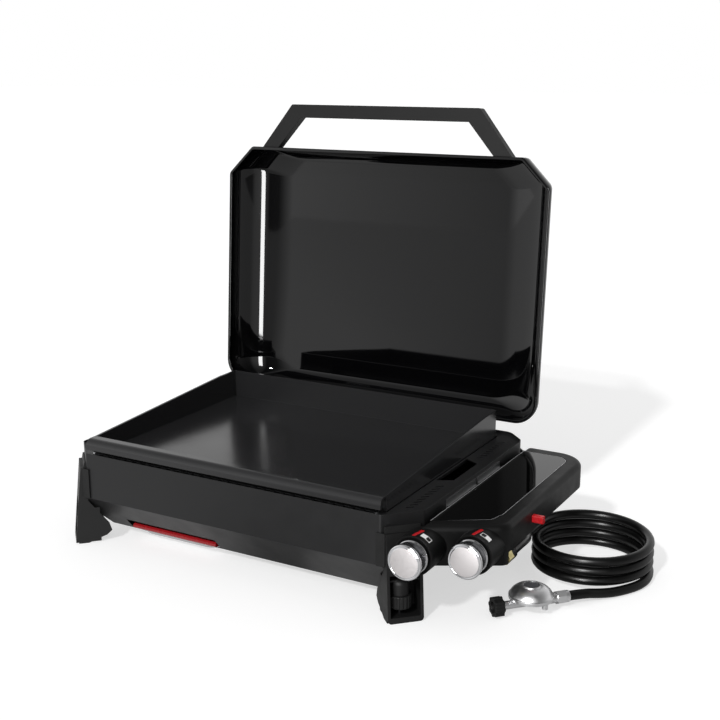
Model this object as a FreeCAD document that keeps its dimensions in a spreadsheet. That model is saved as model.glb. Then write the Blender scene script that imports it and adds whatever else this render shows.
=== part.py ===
import FreeCAD, Part
import math
import os
import Sketcher
from FreeCAD import Rotation, Vector

# Outdoor gas griddle station, in millimetres. X runs to the console on the right, Y to the back and
# Z up. The sizes below place everything from the middle of the cookbox's flat front panel, on the
# ground. The finished pieces are then moved so that the origin is under the middle of the station.

SIZES = {
    # Cookbox of folded sheet steel
    "corner_cut": 50.0,
    "box_half": 340.0,
    "box_rear": 474.0,
    "rear_chamfer": 36.0,
    "rear_round": 25.0,
    "front_round": 6.0,
    "rim_height": 168.5,
    "crease_height": 86.7,
    "box_floor": 21.9,
    "undercut_depth": 55.6,
    "steel_sheet": 1.5,
    # Slotted ledge around the plate
    "ledge_drop": 2.5,
    "vent_slot_width": 10.0,
    "vent_slot_depth": 7.0,
    "vent_pitch": 18.0,
    "vent_margin": 24.0,
    "vent_front": 7.0,
    "louvre_run": 10.0,
    "louvre_width": 4.0,
    "louvre_pitch": 13.0,
    "front_louvres": 9.0,
    "louvre_margin": 14.0,
    "front_louvre_y": 52.0,
    "louvre_inset": 16.0,
    "louvre_gap": 13.5,
    "grip_hole_length": 122.0,
    "grip_hole_width": 26.0,
    # Griddle plate
    "ledge_side": 51.0,
    "plate_front": 21.5,
    "ledge_rear": 29.3,
    "plate_sink": 2.4,
    "plate_steel": 4.0,
    "front_wall_rise": 29.4,
    "rear_wall_rise": 52.0,
    "slope_back": 52.7,
    "plate_corner": 8.0,
    "plate_clearance": 1.5,
    "nose_front": 1.5,
    "nose_rise": 6.5,
    "nose_round": 12.0,
    "nose_steel": 4.0,
    "drain_inset": 85.0,
    "drain_behind": 8.0,
    "drain_length": 40.0,
    "drain_width": 12.0,
    "support_length": 40.0,
    "support_width": 22.0,
    "support_steel": 2.0,
    # Burners
    "burner_x": 145.0,
    "burner_leg": 55.0,
    "burner_radius": 12.0,
    "burner_wall": 1.2,
    "burner_front": 130.0,
    "burner_length": 200.0,
    "port_radius": 1.5,
    "port_pitch": 14.0,
    "port_count": 13.0,
    "cradle_front": 150.0,
    "cradle_rear": 350.0,
    "cradle_width": 20.0,
    "cradle_depth": 18.0,
    "cradle_steel": 2.0,
    "seat_gap": 0.2,
    "electrode_radius": 3.5,
    # Gas line
    "pipe_radius": 4.0,
    "pipe_wall": 0.8,
    "pipe_pitch": 30.0,
    "right_pipe_ahead": 22.0,
    "jet_radius": 6.0,
    "jet_length": 14.0,
    "manifold_radius": 4.5,
    "inlet_pipe_radius": 3.2,
    # Grease tray
    "tray_inset": 105.0,
    "tray_width": 185.0,
    "tray_front": 58.0,
    "tray_length": 242.0,
    "tray_floor": 14.0,
    "tray_rim": 7.0,
    "tray_rim_steel": 1.5,
    "tray_steel": 1.0,
    "tray_round": 28.0,
    "tray_side_gap": 3.0,
    "tray_window_top": 44.0,
    "pull_depth": 11.0,
    "pull_low": 25.0,
    "pull_high": 34.0,
    "pull_inset": 3.0,
    "foil_thickness": 0.5,
    "rail_steel": 1.5,
    "rail_lip": 4.0,
    "chute_width": 52.0,
    "chute_depth": 24.0,
    # Corner legs
    "leg_width": 57.4,
    "rear_leg_width": 47.0,
    "leg_offset": 5.7,
    "leg_foot_reach": 24.8,
    "leg_top_reach": 10.1,
    "leg_drop": 28.5,
    "leg_neck": 10.0,
    "leg_wall": 3.0,
    "leg_sill": 8.9,
    "leg_window_rise": 13.0,
    "leg_window_margin": 4.7,
    "leg_shelf": 62.0,
    "leg_lip": 12.0,
    "bolt_spread": 18.0,
    "bolt_pitch": 25.0,
    "bolt_drop": 10.0,
    "bolt_radius": 4.4,
    "bolt_head": 3.0,
    "panel_screw_inset": 12.0,
    "panel_screw_radius": 3.0,
    "panel_screw_head": 2.0,
    "boss_radius": 14.5,
    "boss_round": 8.0,
    "wheel_radius": 18.3,
    "wheel_rise": 10.6,
    "wheel_height": 20.5,
    "wheel_reach": 3.0,
    "wheel_side": 3.5,
    "wheel_grooves": 18.0,
    "foot_stud": 4.0,
    "foot_pad": 8.5,
    "foot_raise": 1.0,
    "running_gap": 0.3,
    # Console
    "console_gap": 7.0,
    "console_width": 115.0,
    "console_short": 22.0,
    "console_drop": 13.5,
    "console_height": 43.0,
    "console_wall": 2.5,
    "console_deck": 5.5,
    "console_front": 19.0,
    "console_rake": 65.0,
    "console_rear_round": 54.0,
    "console_front_round": 25.0,
    "console_left_round": 10.0,
    "console_top_round": 9.0,
    "step_behind": 8.0,
    "step_depth": 20.0,
    "pod_radius": 31.0,
    "pod_proud": 30.0,
    "pod_inset": 4.0,
    "pod_drop": 35.0,
    "pod_pitch_x": 75.0,
    "pod_pitch_y": 46.0,
    "pod_wall": 7.0,
    "pod_recess": 4.0,
    "pod_recess_radius": 28.6,
    "glass_inset": 2.8,
    "glass_width": 86.2,
    "glass_setback": 28.0,
    "glass_nose_cut": 7.3,
    "glass_rake": 49.0,
    "glass_nose_run": 29.0,
    "glass_short": 28.0,
    "glass_round": 26.0,
    "glass_thickness": 3.0,
    "glass_gap": 0.25,
    "base_thickness": 2.0,
    "bracket_behind": 32.0,
    "bracket_arm": 111.0,
    "bracket_gap": 8.0,
    "bracket_rear_arm": 92.0,
    "bracket_height": 31.0,
    "bracket_flange": 1.5,
    "bracket_flange_rise": 10.0,
    "bracket_drop": 4.0,
    # Knobs and valves
    "knob_radius": 24.5,
    "knob_length": 27.0,
    "knob_gap": 1.0,
    "knob_rim": 3.0,
    "knob_rim_length": 4.0,
    "knob_ring": 1.5,
    "knob_ring_length": 4.0,
    "cap_radius": 25.5,
    "cap_thickness": 1.5,
    "stem_radius": 4.0,
    "turn_gap": 0.06,
    "stem_proud": 13.0,
    "stem_length": 38.0,
    "plug_radius": 6.0,
    "plug_behind": 13.0,
    "plug_length": 20.0,
    "valve_radius": 9.0,
    "valve_end": 4.0,
    "valve_block": 18.0,
    # Igniter
    "button_behind": 91.5,
    "button_drop": 21.5,
    "button_width": 10.0,
    "button_height": 12.0,
    "button_length": 30.0,
    "button_proud": 18.0,
    "module_length": 38.0,
    "module_width": 32.0,
    "module_height": 30.0,
    # Lid, given as it lies closed
    "lid_side_cover": 4.0,
    "lid_front_cover": 3.0,
    "lid_rear_cover": 5.0,
    "lid_seat_gap": 0.5,
    "lid_chamfer": 54.0,
    "lid_rear_round": 44.0,
    "lid_depth": 75.0,
    "lid_sheet": 1.5,
    "lid_rings": 15.0,
    "lid_crown_side": 104.0,
    "lid_end_draft": 20.0,
    "lid_end_round": 6.0,
    "lid_bead": 6.0,
    "hinge_behind": 16.65,
    "hinge_drop": 0.96,
    "lid_open_angle": 93.84,
    "handle_inset": 23.0,
    "handle_rake": 67.0,
    "lid_handle_reach": 84.0,
    "lid_handle_bar": 25.0,
    "lid_handle_low": 5.0,
    "lid_handle_depth": 18.0,
    "handle_screw_inset": 17.0,
    "handle_screw_radius": 4.0,
    "grip_groove_pitch": 7.0,
    "grip_groove_width": 3.5,
    "grip_groove_depth": 1.2,
    "grip_grooves": 37.0,
    "hinge_inset": 120.0,
    "hinge_width": 22.0,
    "hinge_ear": 4.0,
    "hinge_radius": 8.0,
    "hinge_pin": 3.0,
    "hinge_side_gap": 0.4,
    # Hose, regulator and fittings
    "inlet_inset": 10.0,
    "inlet_rise": 6.0,
    "inlet_nut_flats": 19.0,
    "inlet_nut_length": 16.0,
    "ferrule_radius": 9.2,
    "ferrule_length": 14.0,
    "hose_diameter": 15.4,
    "coil_beside": 51.4,
    "coil_behind": 237.5,
    "coil_radius": 92.7,
    "coil_pitch": 16.2,
    "coil_start": 180.0,
    "coil_turn": 1240.0,
    "coil_floor": 2.4,
    "regulator_side": 69.9,
    "regulator_ahead": 236.5,
    "regulator_z": 17.0,
    "regulator_angle": 47.5,
    "regulator_radius": 35.0,
    "regulator_centre": 57.0,
    "regulator_nut_start": 100.0,
    "regulator_nut_length": 15.0,
    "regulator_nut_flats": 19.0,
    "handwheel_radius": 16.0,
    "handwheel_length": 15.0,
    "handwheel_lobes": 8.0,
}


class Size:
    """A size that keeps its formula in the sheet's names, so that a feature can be bound to it."""

    def __init__(self, formula, value):
        self.formula = formula
        self.value = value

    def _with(self, sign, other, swap=False):
        first, second = (other, self) if swap else (self, other)
        a, b = number(first), number(second)
        value = {"+": a + b, "-": a - b, "*": a * b, "/": a / b if b else 0.0}[sign]
        return Size("(%s %s %s)" % (formula(first), sign, formula(second)), value)

    def __add__(self, other):
        return self._with("+", other)

    def __radd__(self, other):
        return self._with("+", other, True)

    def __sub__(self, other):
        return self._with("-", other)

    def __rsub__(self, other):
        return self._with("-", other, True)

    def __mul__(self, other):
        return self._with("*", other)

    def __rmul__(self, other):
        return self._with("*", other, True)

    def __truediv__(self, other):
        return self._with("/", other)

    def __neg__(self):
        return self._with("*", -1.0)


def number(size):
    return size.value if isinstance(size, Size) else float(size)


def formula(size):
    return size.formula if isinstance(size, Size) else "(%r)" % float(size)


def whole(size):
    """A count that follows from sizes."""
    return Size("floor(%s)" % formula(size), float(math.floor(number(size))))


def bind(thing, name, size):
    thing.setExpression(name, formula(size))


doc = FreeCAD.newDocument("GriddleStation")
sheet = doc.addObject("Spreadsheet::Sheet", "Sizes")
for row, (alias, cell) in enumerate(SIZES.items(), 1):
    sheet.set("A%d" % row, alias)
    sheet.set("B%d" % row, str(cell))
    sheet.setAlias("B%d" % row, alias)
doc.recompute()


class Sheet:
    """The sheet's sizes by name, to which the places that follow from them are added."""

    def __getattr__(self, alias):
        return Size("Sizes." + alias, SIZES[alias])


size = Sheet()

# Places that follow from other sizes: how far each piece stands from what carries it

size.panel_half = size.box_half - size.corner_cut
size.ledge_height = size.rim_height - size.ledge_drop
size.grip_hole_front = size.front_louvre_y + size.louvre_pitch * size.front_louvres + size.louvre_gap
size.grip_hole_rear = size.grip_hole_front + size.grip_hole_length
size.rear_louvre_y = size.grip_hole_rear + size.louvre_gap
size.rear_louvres = whole((size.box_rear - size.rear_chamfer - size.louvre_margin
                          - size.rear_louvre_y) / size.louvre_pitch)
size.vent_count = whole((size.panel_half - size.vent_margin) * 2.0 / size.vent_pitch) + 1.0
size.plate_half = size.box_half - size.ledge_side
size.plate_rear = size.box_rear - size.ledge_rear
size.plate_surface = size.ledge_height - size.plate_sink
size.plate_front_wall = size.plate_surface + size.front_wall_rise
size.plate_rear_wall = size.plate_surface + size.rear_wall_rise
size.plate_slope_end = size.plate_rear - size.slope_back
size.nose_floor = size.rim_height + size.nose_rise
size.console_left = size.box_half + size.console_gap
size.console_right = size.console_left + size.console_width
size.console_rear = size.box_rear - size.console_short
size.console_top = size.rim_height - size.console_drop
size.console_floor = size.console_top - size.console_height
size.console_corner_y = size.console_front + size.console_rake
size.console_step_y = size.console_corner_y + size.step_behind
size.console_step_floor = size.console_floor - size.step_depth
size.pod_front = size.console_front - size.pod_proud
size.pod_left_x = size.console_left + size.pod_inset
size.pod_height = size.console_top - size.pod_drop
size.burner_height = size.pod_height
size.glass_left = size.console_left + size.glass_inset
size.glass_right = size.glass_left + size.glass_width
size.glass_front = size.console_front + size.glass_setback
size.glass_nose = size.glass_right - size.glass_nose_cut
size.glass_front_right = size.glass_front + size.glass_rake
size.glass_side_start = size.glass_front_right + size.glass_nose_run
size.glass_rear = size.console_rear - size.glass_short
size.bracket_front = size.console_step_y + size.bracket_behind
size.bracket_gap_front = size.bracket_front + size.bracket_arm
size.bracket_gap_rear = size.bracket_gap_front + size.bracket_gap
size.bracket_rear = size.bracket_gap_rear + size.bracket_rear_arm
size.bracket_high = size.console_top - size.bracket_drop
size.bracket_low = size.bracket_high - size.bracket_height
size.knob_rear = size.pod_front - size.knob_gap
size.knob_front = size.knob_rear - size.knob_length
size.stem_front = size.pod_front - size.stem_proud
size.stem_rear = size.stem_front + size.stem_length
size.plug_front = size.pod_front + size.plug_behind
size.plug_rear = size.plug_front + size.plug_length
size.valve_rear = size.plug_rear + size.valve_end
size.button_y = size.console_step_y + size.button_behind
size.button_z = size.console_top - size.button_drop
size.right_pipe_y = size.burner_front - size.right_pipe_ahead
size.left_pipe_y = size.right_pipe_y - size.pipe_pitch
size.burner_rear = size.burner_front + size.burner_length
size.tray_left = size.tray_inset - size.box_half
size.tray_right = size.tray_left + size.tray_width
size.drain_x = size.tray_left + size.drain_inset
size.drain_y = size.tray_front + size.drain_behind
size.leg_top = size.rim_height - size.leg_drop
size.leg_neck_top = size.leg_top + size.leg_neck
size.leg_window_top = size.leg_shelf + size.leg_window_rise
size.wheel_low = size.leg_sill + size.wheel_rise
size.wheel_high = size.wheel_low + size.wheel_height
size.lid_half = size.box_half + size.lid_side_cover
size.lid_rear = size.box_rear + size.lid_rear_cover
size.lid_length = size.lid_rear + size.lid_front_cover
size.lid_seat = size.rim_height + size.lid_seat_gap
size.hinge_y = size.box_rear + size.hinge_behind
size.hinge_z = size.lid_seat - size.hinge_drop
size.lid_handle_foot = size.lid_half - size.lid_chamfer - size.handle_inset
size.lid_handle_top = size.lid_handle_foot - size.handle_rake
size.handle_screw_x = size.lid_handle_foot - size.handle_screw_inset
size.hinge_x = size.box_half - size.hinge_inset
size.inlet_x = size.console_right - size.inlet_inset
size.inlet_z = size.console_step_floor + size.inlet_rise
size.coil_x = size.console_right + size.coil_beside
size.coil_y = size.console_step_y + size.coil_behind
size.regulator_x = size.coil_x - size.regulator_side
size.regulator_y = size.coil_y - size.regulator_ahead

ROOT2 = math.sqrt(2.0)
BEVEL = ROOT2 - 1.0


class Circle:
    def __init__(self, x, y, radius):
        self.x, self.y, self.radius = x, y, radius


def draw_polygon(sketch, points):
    """A closed outline whose corners are each tied to their own formulas."""
    first = sketch.GeometryCount
    count = len(points)
    spots = [Vector(number(x), number(y), 0) for x, y in points]
    for i in range(count):
        sketch.addGeometry(Part.LineSegment(spots[i], spots[(i + 1) % count]))
    for i in range(count):
        following = first + (i + 1) % count
        sketch.addConstraint(Sketcher.Constraint("Coincident", first + i, 2, following, 1))
        for kind, place, goal in (("DistanceX", spots[i].x, points[i][0]),
                                  ("DistanceY", spots[i].y, points[i][1])):
            index = sketch.addConstraint(Sketcher.Constraint(kind, -1, 1, first + i, 1, place))
            bind(sketch, "Constraints[%d]" % index, goal)


def draw_circle(sketch, circle):
    centre = Vector(number(circle.x), number(circle.y), 0)
    index = sketch.addGeometry(Part.Circle(centre, Vector(0, 0, 1), number(circle.radius)))
    for kind, place, goal in (("DistanceX", centre.x, circle.x), ("DistanceY", centre.y, circle.y)):
        constraint = sketch.addConstraint(Sketcher.Constraint(kind, -1, 1, index, 3, place))
        bind(sketch, "Constraints[%d]" % constraint, goal)
    constraint = sketch.addConstraint(Sketcher.Constraint("Radius", index, number(circle.radius)))
    bind(sketch, "Constraints[%d]" % constraint, circle.radius)


def new_body(label):
    body = doc.addObject("PartDesign::Body", label)
    body.Label = label
    return body


def draw(body, plane, level, outlines):
    """A sketch on one of the body's own planes, at a level along that plane's axis."""
    sketch = body.newObject("Sketcher::SketchObject", "Outline")
    support = [item for item in body.Origin.OriginFeatures if item.Role == plane + "_Plane"][0]
    sketch.AttachmentSupport = [(support, "")]
    sketch.MapMode = "FlatFace"
    bind(sketch, "AttachmentOffset.Base.z", -level if plane == "XZ" else level)
    for outline in outlines:
        if isinstance(outline, Circle):
            draw_circle(sketch, outline)
        else:
            draw_polygon(sketch, outline)
    return sketch


def pad(body, plane, low, high, *outlines):
    sketch = draw(body, plane, low, outlines)
    feature = body.newObject("PartDesign::Pad", "Pad")
    feature.Profile = sketch
    feature.Reversed = plane == "XZ"
    bind(feature, "Length", high - low)
    return feature


def pocket(body, plane, low, high, *outlines):
    sketch = draw(body, plane, low if plane == "XZ" else high, outlines)
    feature = body.newObject("PartDesign::Pocket", "Pocket")
    feature.Profile = sketch
    bind(feature, "Length", high - low)
    return feature


def repeat(body, feature, axis, pitch, count):
    pattern = body.newObject("PartDesign::LinearPattern", "Row")
    pattern.Originals = [feature]
    line = [item for item in body.Origin.OriginFeatures if item.Role == axis + "_Axis"][0]
    pattern.Direction = (line, [""])
    bind(pattern, "Length", pitch * (count - 1))
    bind(pattern, "Occurrences", count)
    body.Tip = pattern
    return pattern


def corner_edges(shape, axis, corners):
    """Names of the straight edges along an axis that stand on the given corners."""
    across = [i for i in range(3) if i != axis]
    wanted = [(number(a), number(b)) for a, b in corners]
    names = []
    for index, edge in enumerate(shape.Edges, 1):
        if len(edge.Vertexes) != 2:
            continue
        start, end = edge.Vertexes[0].Point, edge.Vertexes[1].Point
        if any(abs(start[i] - end[i]) > 1e-4 for i in across):
            continue
        spot = [start[i] for i in across]
        if any(abs(spot[0] - a) < 1e-3 and abs(spot[1] - b) < 1e-3 for a, b in wanted):
            names.append("Edge%d" % index)
    return names


def round_corners(body, axis, corners, radius):
    doc.recompute()
    base = body.Tip
    names = corner_edges(base.Shape, axis, corners)
    feature = body.newObject("PartDesign::Fillet", "Rounding")
    feature.Base = (base, names)
    bind(feature, "Radius", radius)
    return feature


def round_rim(body, level, radius, beyond=None):
    """Rounds the edges that lie at one height, only those past beyond along X where it is given."""
    doc.recompute()
    base = body.Tip
    names = []
    for index, edge in enumerate(base.Shape.Edges, 1):
        middle = edge.valueAt((edge.FirstParameter + edge.LastParameter) / 2.0)
        flat = all(abs(spot.z - number(level)) < 1e-3 for spot in [middle] + [v.Point for v in edge.Vertexes])
        if flat and (beyond is None or middle.x > number(beyond)):
            names.append("Edge%d" % index)
    feature = body.newObject("PartDesign::Fillet", "RimRounding")
    feature.Base = (base, names)
    bind(feature, "Radius", radius)
    return feature


def block(x_low, x_high, y_low, y_high, z_low, z_high):
    box = doc.addObject("Part::Box", "Block")
    for name, low, high, edge in (("x", x_low, x_high, "Length"), ("y", y_low, y_high, "Width"),
                                  ("z", z_low, z_high, "Height")):
        bind(box, "Placement.Base." + name, low)
        bind(box, edge, high - low)
    return box


TURNS = {"X": Rotation(Vector(0, 1, 0), 90), "Y": Rotation(Vector(1, 0, 0), -90), "Z": Rotation()}


def rod(axis, x, y, z, radius, length):
    cylinder = doc.addObject("Part::Cylinder", "Rod")
    cylinder.Placement = FreeCAD.Placement(Vector(), TURNS[axis])
    for name, place in (("x", x), ("y", y), ("z", z)):
        bind(cylinder, "Placement.Base." + name, place)
    bind(cylinder, "Radius", radius)
    bind(cylinder, "Height", length)
    return cylinder


def prism_rod(axis, x, y, z, flats, length):
    """A hexagonal bar, given across its flats."""
    prism = doc.addObject("Part::Prism", "HexBar")
    prism.Polygon = 6
    prism.Placement = FreeCAD.Placement(Vector(), TURNS[axis])
    for name, place in (("x", x), ("y", y), ("z", z)):
        bind(prism, "Placement.Base." + name, place)
    bind(prism, "Circumradius", flats / math.sqrt(3.0))
    bind(prism, "Height", length)
    return prism


def fuse(label, *pieces):
    joined = doc.addObject("Part::MultiFuse", label)
    joined.Label = label
    joined.Shapes = list(pieces)
    return joined


def cut(label, base, *tools):
    result = doc.addObject("Part::Cut", label)
    result.Label = label
    result.Base = base
    result.Tool = tools[0] if len(tools) == 1 else fuse(label + "_cutter", *tools)
    return result


def group(label, *pieces):
    """Like pieces that share a node and stay separate solids."""
    compound = doc.addObject("Part::Compound", label)
    compound.Label = label
    compound.Links = list(pieces)
    return compound


def made(label, shape):
    feature = doc.addObject("Part::Feature", label)
    feature.Label = label
    feature.Shape = shape
    return feature


parts = {}
lid_parts = []
cord_parts = []


def keep(piece, label=None):
    if label:
        piece.Label = label
    parts[piece.Label] = piece
    return piece


# Cookbox shell: folded steel with a flat front panel, tapered below its crease, cut-off corners

def box_outline(inset):
    """Plan of the cookbox, drawn in from its outer face by inset."""
    nip = inset * BEVEL
    half, front_half = size.box_half - inset, size.panel_half - nip
    front, rear = 0.0 + inset, size.box_rear - inset
    front_corner = size.box_half - size.panel_half + nip
    rear_corner = size.box_rear - size.rear_chamfer - nip
    rear_half = size.box_half - size.rear_chamfer - nip
    right = [(front_half, front), (half, front_corner), (half, rear_corner), (rear_half, rear)]
    return right + [(-x, y) for x, y in reversed(right)]


def box_solid(label, inset, low, high):
    body = new_body(label)
    outline = box_outline(inset)
    pad(body, "XY", low, high, outline)
    round_corners(body, 2, [outline[i] for i in (2, 3, 4, 5)], size.rear_round - inset)
    round_corners(body, 2, [outline[i] for i in (0, 1, 6, 7)], size.front_round - inset)
    return body


undercut_slope = size.undercut_depth / (size.crease_height - size.box_floor)
zero = size.steel_sheet * 0.0
outer_box = box_solid("BoxOuter", zero, size.box_floor, size.rim_height)
inner_box = box_solid("BoxInner", size.steel_sheet, size.box_floor + size.steel_sheet,
                      size.rim_height + 1.0)


def undercut(body, shift):
    """Slopes the front and both sides inwards below the crease; shift moves the slopes inwards."""
    top = size.crease_height + size.steel_sheet * 0.4 * shift
    low = size.box_floor - zero
    depth = undercut_slope * (top - size.box_floor) + size.steel_sheet * shift
    sheet = size.steel_sheet * shift
    reach = size.box_half + 1.0
    pocket(body, "YZ", -reach, reach, [(zero - 1.0, top), (zero + sheet, top), (depth, low), (zero - 1.0, low)])
    for side in (-1.0, 1.0):
        pocket(body, "XZ", zero - 1.0, size.box_rear + 1.0,
               [(side * reach, top), (side * (size.box_half - sheet), top), (side * (size.box_half - depth), low),
                (side * reach, low)])


undercut(outer_box, 0)
undercut(inner_box, 1)

floor_top = size.box_floor + size.steel_sheet
pan_left = size.tray_left + size.tray_rim
pan_right = size.tray_right - size.tray_rim
tray_rear = size.tray_front + size.tray_length
floor_window = block(pan_left - size.tray_side_gap, pan_right + size.tray_side_gap,
                     size.undercut_depth * 0.5, tray_rear - size.tray_rim + size.tray_side_gap,
                     size.box_floor - 1.0, floor_top + 1.0)
slope_window = block(size.tray_left - size.tray_side_gap, size.tray_right + size.tray_side_gap,
                     size.undercut_depth * 0.5, size.tray_front + size.tray_side_gap, floor_top,
                     size.tray_window_top)
pipe_hole_left = rod("X", size.box_half - 4.0, size.left_pipe_y, size.burner_height,
                     size.pipe_radius + 0.5, 20.0)
pipe_hole_right = rod("X", size.box_half - 4.0, size.right_pipe_y, size.burner_height,
                      size.pipe_radius + 0.5, 20.0)
keep(cut("firebox_shell", outer_box, inner_box, floor_window, slope_window, pipe_hole_left, pipe_hole_right))

# Ledge: a pressed frame between the shell and the plate, slotted for the burners' air

ledge = new_body("ledge_frame")
ledge_under = size.ledge_height - size.steel_sheet
plate_floor = size.plate_surface - size.plate_steel
gap_half = size.plate_half + size.plate_clearance
gap_front = size.plate_front - size.plate_clearance
gap_rear = size.plate_rear + size.plate_clearance
ledge_outline = box_outline(size.steel_sheet)
pad(ledge, "XY", ledge_under, size.ledge_height, ledge_outline)
round_corners(ledge, 2, [ledge_outline[i] for i in (2, 3, 4, 5)], size.rear_round - size.steel_sheet)
round_corners(ledge, 2, [ledge_outline[i] for i in (0, 1, 6, 7)], size.front_round - size.steel_sheet)


def rectangle(x_low, x_high, y_low, y_high):
    return [(x_low, y_low), (x_high, y_low), (x_high, y_high), (x_low, y_high)]


flange_half = gap_half + size.steel_sheet
pad(ledge, "XY", plate_floor, ledge_under,
    rectangle(-flange_half, flange_half, gap_front - size.steel_sheet, gap_rear + size.steel_sheet))
pocket(ledge, "XY", plate_floor, size.ledge_height, rectangle(-gap_half, gap_half, gap_front, gap_rear))

first_vent = -size.vent_pitch * (size.vent_count - 1) / 2.0
vent = pocket(ledge, "XY", ledge_under, size.ledge_height,
              rectangle(first_vent - size.vent_slot_width / 2.0, first_vent + size.vent_slot_width / 2.0,
                        size.vent_front, size.vent_front + size.vent_slot_depth))
repeat(ledge, vent, "X", size.vent_pitch, size.vent_count)


def louvre_pair(y):
    """A slanted slot on the right of the ledge and its twin on the left."""
    x, run, wide = size.plate_half + size.louvre_inset, size.louvre_run, size.louvre_width
    slot = [(x, y), (x + wide / ROOT2, y - wide / ROOT2), (x + run + wide / ROOT2, y + run - wide / ROOT2),
            (x + run, y + run)]
    return [slot, [(-x, y) for x, y in slot]]


for start, count in ((size.front_louvre_y, size.front_louvres), (size.rear_louvre_y, size.rear_louvres)):
    louvres = pocket(ledge, "XY", ledge_under, size.ledge_height, *louvre_pair(start))
    repeat(ledge, louvres, "Y", size.louvre_pitch, count)

hole_left = flange_half + 1.0
hole_right = hole_left + size.grip_hole_width
hole_taper = size.grip_hole_width * 0.55
grip_hole = [(hole_left, size.grip_hole_front), (hole_right, size.grip_hole_front + hole_taper),
             (hole_right, size.grip_hole_rear - hole_taper), (hole_left, size.grip_hole_rear)]
pocket(ledge, "XY", ledge_under, size.ledge_height, grip_hole, [(-x, y) for x, y in grip_hole])
keep(ledge)

# Plate supports: four tabs welded under the ledge's flange, on which the plate rests

support_y = [size.plate_front + size.support_length, size.plate_rear - size.support_length * 2.0]
supports = []
for side in (-1.0, 1.0):
    for y in support_y:
        tab_x = sorted((side * (size.plate_half - size.support_width),
                        side * (flange_half + size.support_steel)), key=number)
        web_x = sorted((side * flange_half, side * (flange_half + size.support_steel)), key=number)
        tab = block(tab_x[0], tab_x[1], y, y + size.support_length,
                    plate_floor - size.support_steel, plate_floor)
        web = block(web_x[0], web_x[1], y, y + size.support_length, plate_floor, ledge_under)
        supports.append(fuse("SupportTab", tab, web))
keep(group("plate_supports", *supports))

# Griddle plate: 4 mm steel pan with rising side walls and a rolled nose over the front panel

plate = new_body("PlatePan")
pad(plate, "XY", plate_floor, size.plate_rear_wall,
    rectangle(-size.plate_half, size.plate_half, size.plate_front, size.plate_rear))
round_corners(plate, 2, [(-size.plate_half, size.plate_rear), (size.plate_half, size.plate_rear)],
              size.plate_corner)
inner_half = size.plate_half - size.plate_steel
inner_front = size.plate_front + size.plate_steel
inner_rear = size.plate_rear - size.plate_steel
pocket(plate, "XY", size.plate_surface, size.plate_rear_wall,
       rectangle(-inner_half, inner_half, inner_front, inner_rear))
above = size.plate_rear_wall + 5.0
pocket(plate, "YZ", -size.plate_half - 1.0, size.plate_half + 1.0,
       [(size.plate_front - 1.0, size.plate_front_wall), (inner_front, size.plate_front_wall),
        (size.plate_slope_end, size.plate_rear_wall), (size.plate_slope_end, above),
        (size.plate_front - 1.0, above)])
nose_wall = size.nose_front + size.nose_steel
nose = new_body("Nose")
pad(nose, "YZ", -size.plate_half, size.plate_half,
    [(size.nose_front, size.nose_floor), (nose_wall, size.nose_floor),
     (nose_wall, size.plate_front_wall - size.nose_steel),
     (size.plate_front, size.plate_front_wall - size.nose_steel),
     (size.plate_front, size.plate_front_wall), (size.nose_front, size.plate_front_wall)])
round_corners(nose, 0, [(nose_wall, size.plate_front_wall - size.nose_steel)],
              size.nose_round - size.nose_steel)
round_corners(nose, 0, [(size.nose_front, size.plate_front_wall)], size.nose_round)
drain = block(size.drain_x - size.drain_length / 2.0, size.drain_x + size.drain_length / 2.0,
              size.drain_y - size.drain_width / 2.0, size.drain_y + size.drain_width / 2.0,
              plate_floor - 1.0, size.plate_surface + 1.0)
keep(cut("griddle_plate", fuse("PlateWithNose", plate, nose), drain))

# Burners: two U-shaped steel tubes with a row of ports on each leg, closed at their far end


def tube_path(points, bend):
    """A wire of straight runs joined by arcs of radius bend."""
    edges = []
    start = points[0]
    for before, corner, after in zip(points, points[1:], points[2:]):
        into = (corner - before).normalize()
        out = (after - corner).normalize()
        turn = into.getAngle(out)
        trim = bend * math.tan(turn / 2.0)
        first, last = corner - into * trim, corner + out * trim
        middle_way = (out - into).normalize()
        centre = corner + middle_way * (bend / math.cos(turn / 2.0))
        middle = centre - middle_way * bend
        edges.append(Part.LineSegment(start, first).toShape())
        edges.append(Part.Arc(first, middle, last).toShape())
        start = last
    edges.append(Part.LineSegment(start, points[-1]).toShape())
    return Part.Wire(edges)


def swept_tube(path, radius, bore=0.0):
    """A round tube along a wire, hollow where a bore is given."""
    start = path.OrderedEdges[0]
    heading = start.tangentAt(start.FirstParameter)
    spot = start.valueAt(start.FirstParameter)
    solids = []
    for r in (radius, bore):
        if r:
            ring = Part.Wire(Part.Circle(spot, heading, r).toShape())
            solids.append(path.makePipeShell([ring], True, False))
    return solids[0].cut(solids[1]) if bore else solids[0]


burner_low = number(size.burner_height)
for name, side in (("left", -1.0), ("right", 1.0)):
    centre = side * number(size.burner_x)
    reach = number(size.burner_leg)
    front, rear = number(size.burner_front), number(size.burner_rear)
    points = [Vector(centre + reach, front, burner_low), Vector(centre + reach, rear + reach, burner_low),
              Vector(centre - reach, rear + reach, burner_low), Vector(centre - reach, front, burner_low)]
    shape = swept_tube(tube_path(points, reach - 0.5), number(size.burner_radius),
                       number(size.burner_radius - size.burner_wall))
    plug = Part.makeCylinder(number(size.burner_radius), 2.0, points[-1], Vector(0, -1, 0))
    shape = shape.fuse(plug)
    ports = []
    for x in (centre + reach, centre - reach):
        for k in range(int(number(size.port_count))):
            y = front + 20.0 + number(size.port_pitch) * k
            ports.append(Part.makeCylinder(number(size.port_radius), number(size.burner_radius) + 1.0,
                                           Vector(x, y, burner_low), Vector(0, 0, 1)))
    keep(made("burner_" + name, shape.cut(Part.makeCompound(ports))))

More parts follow.
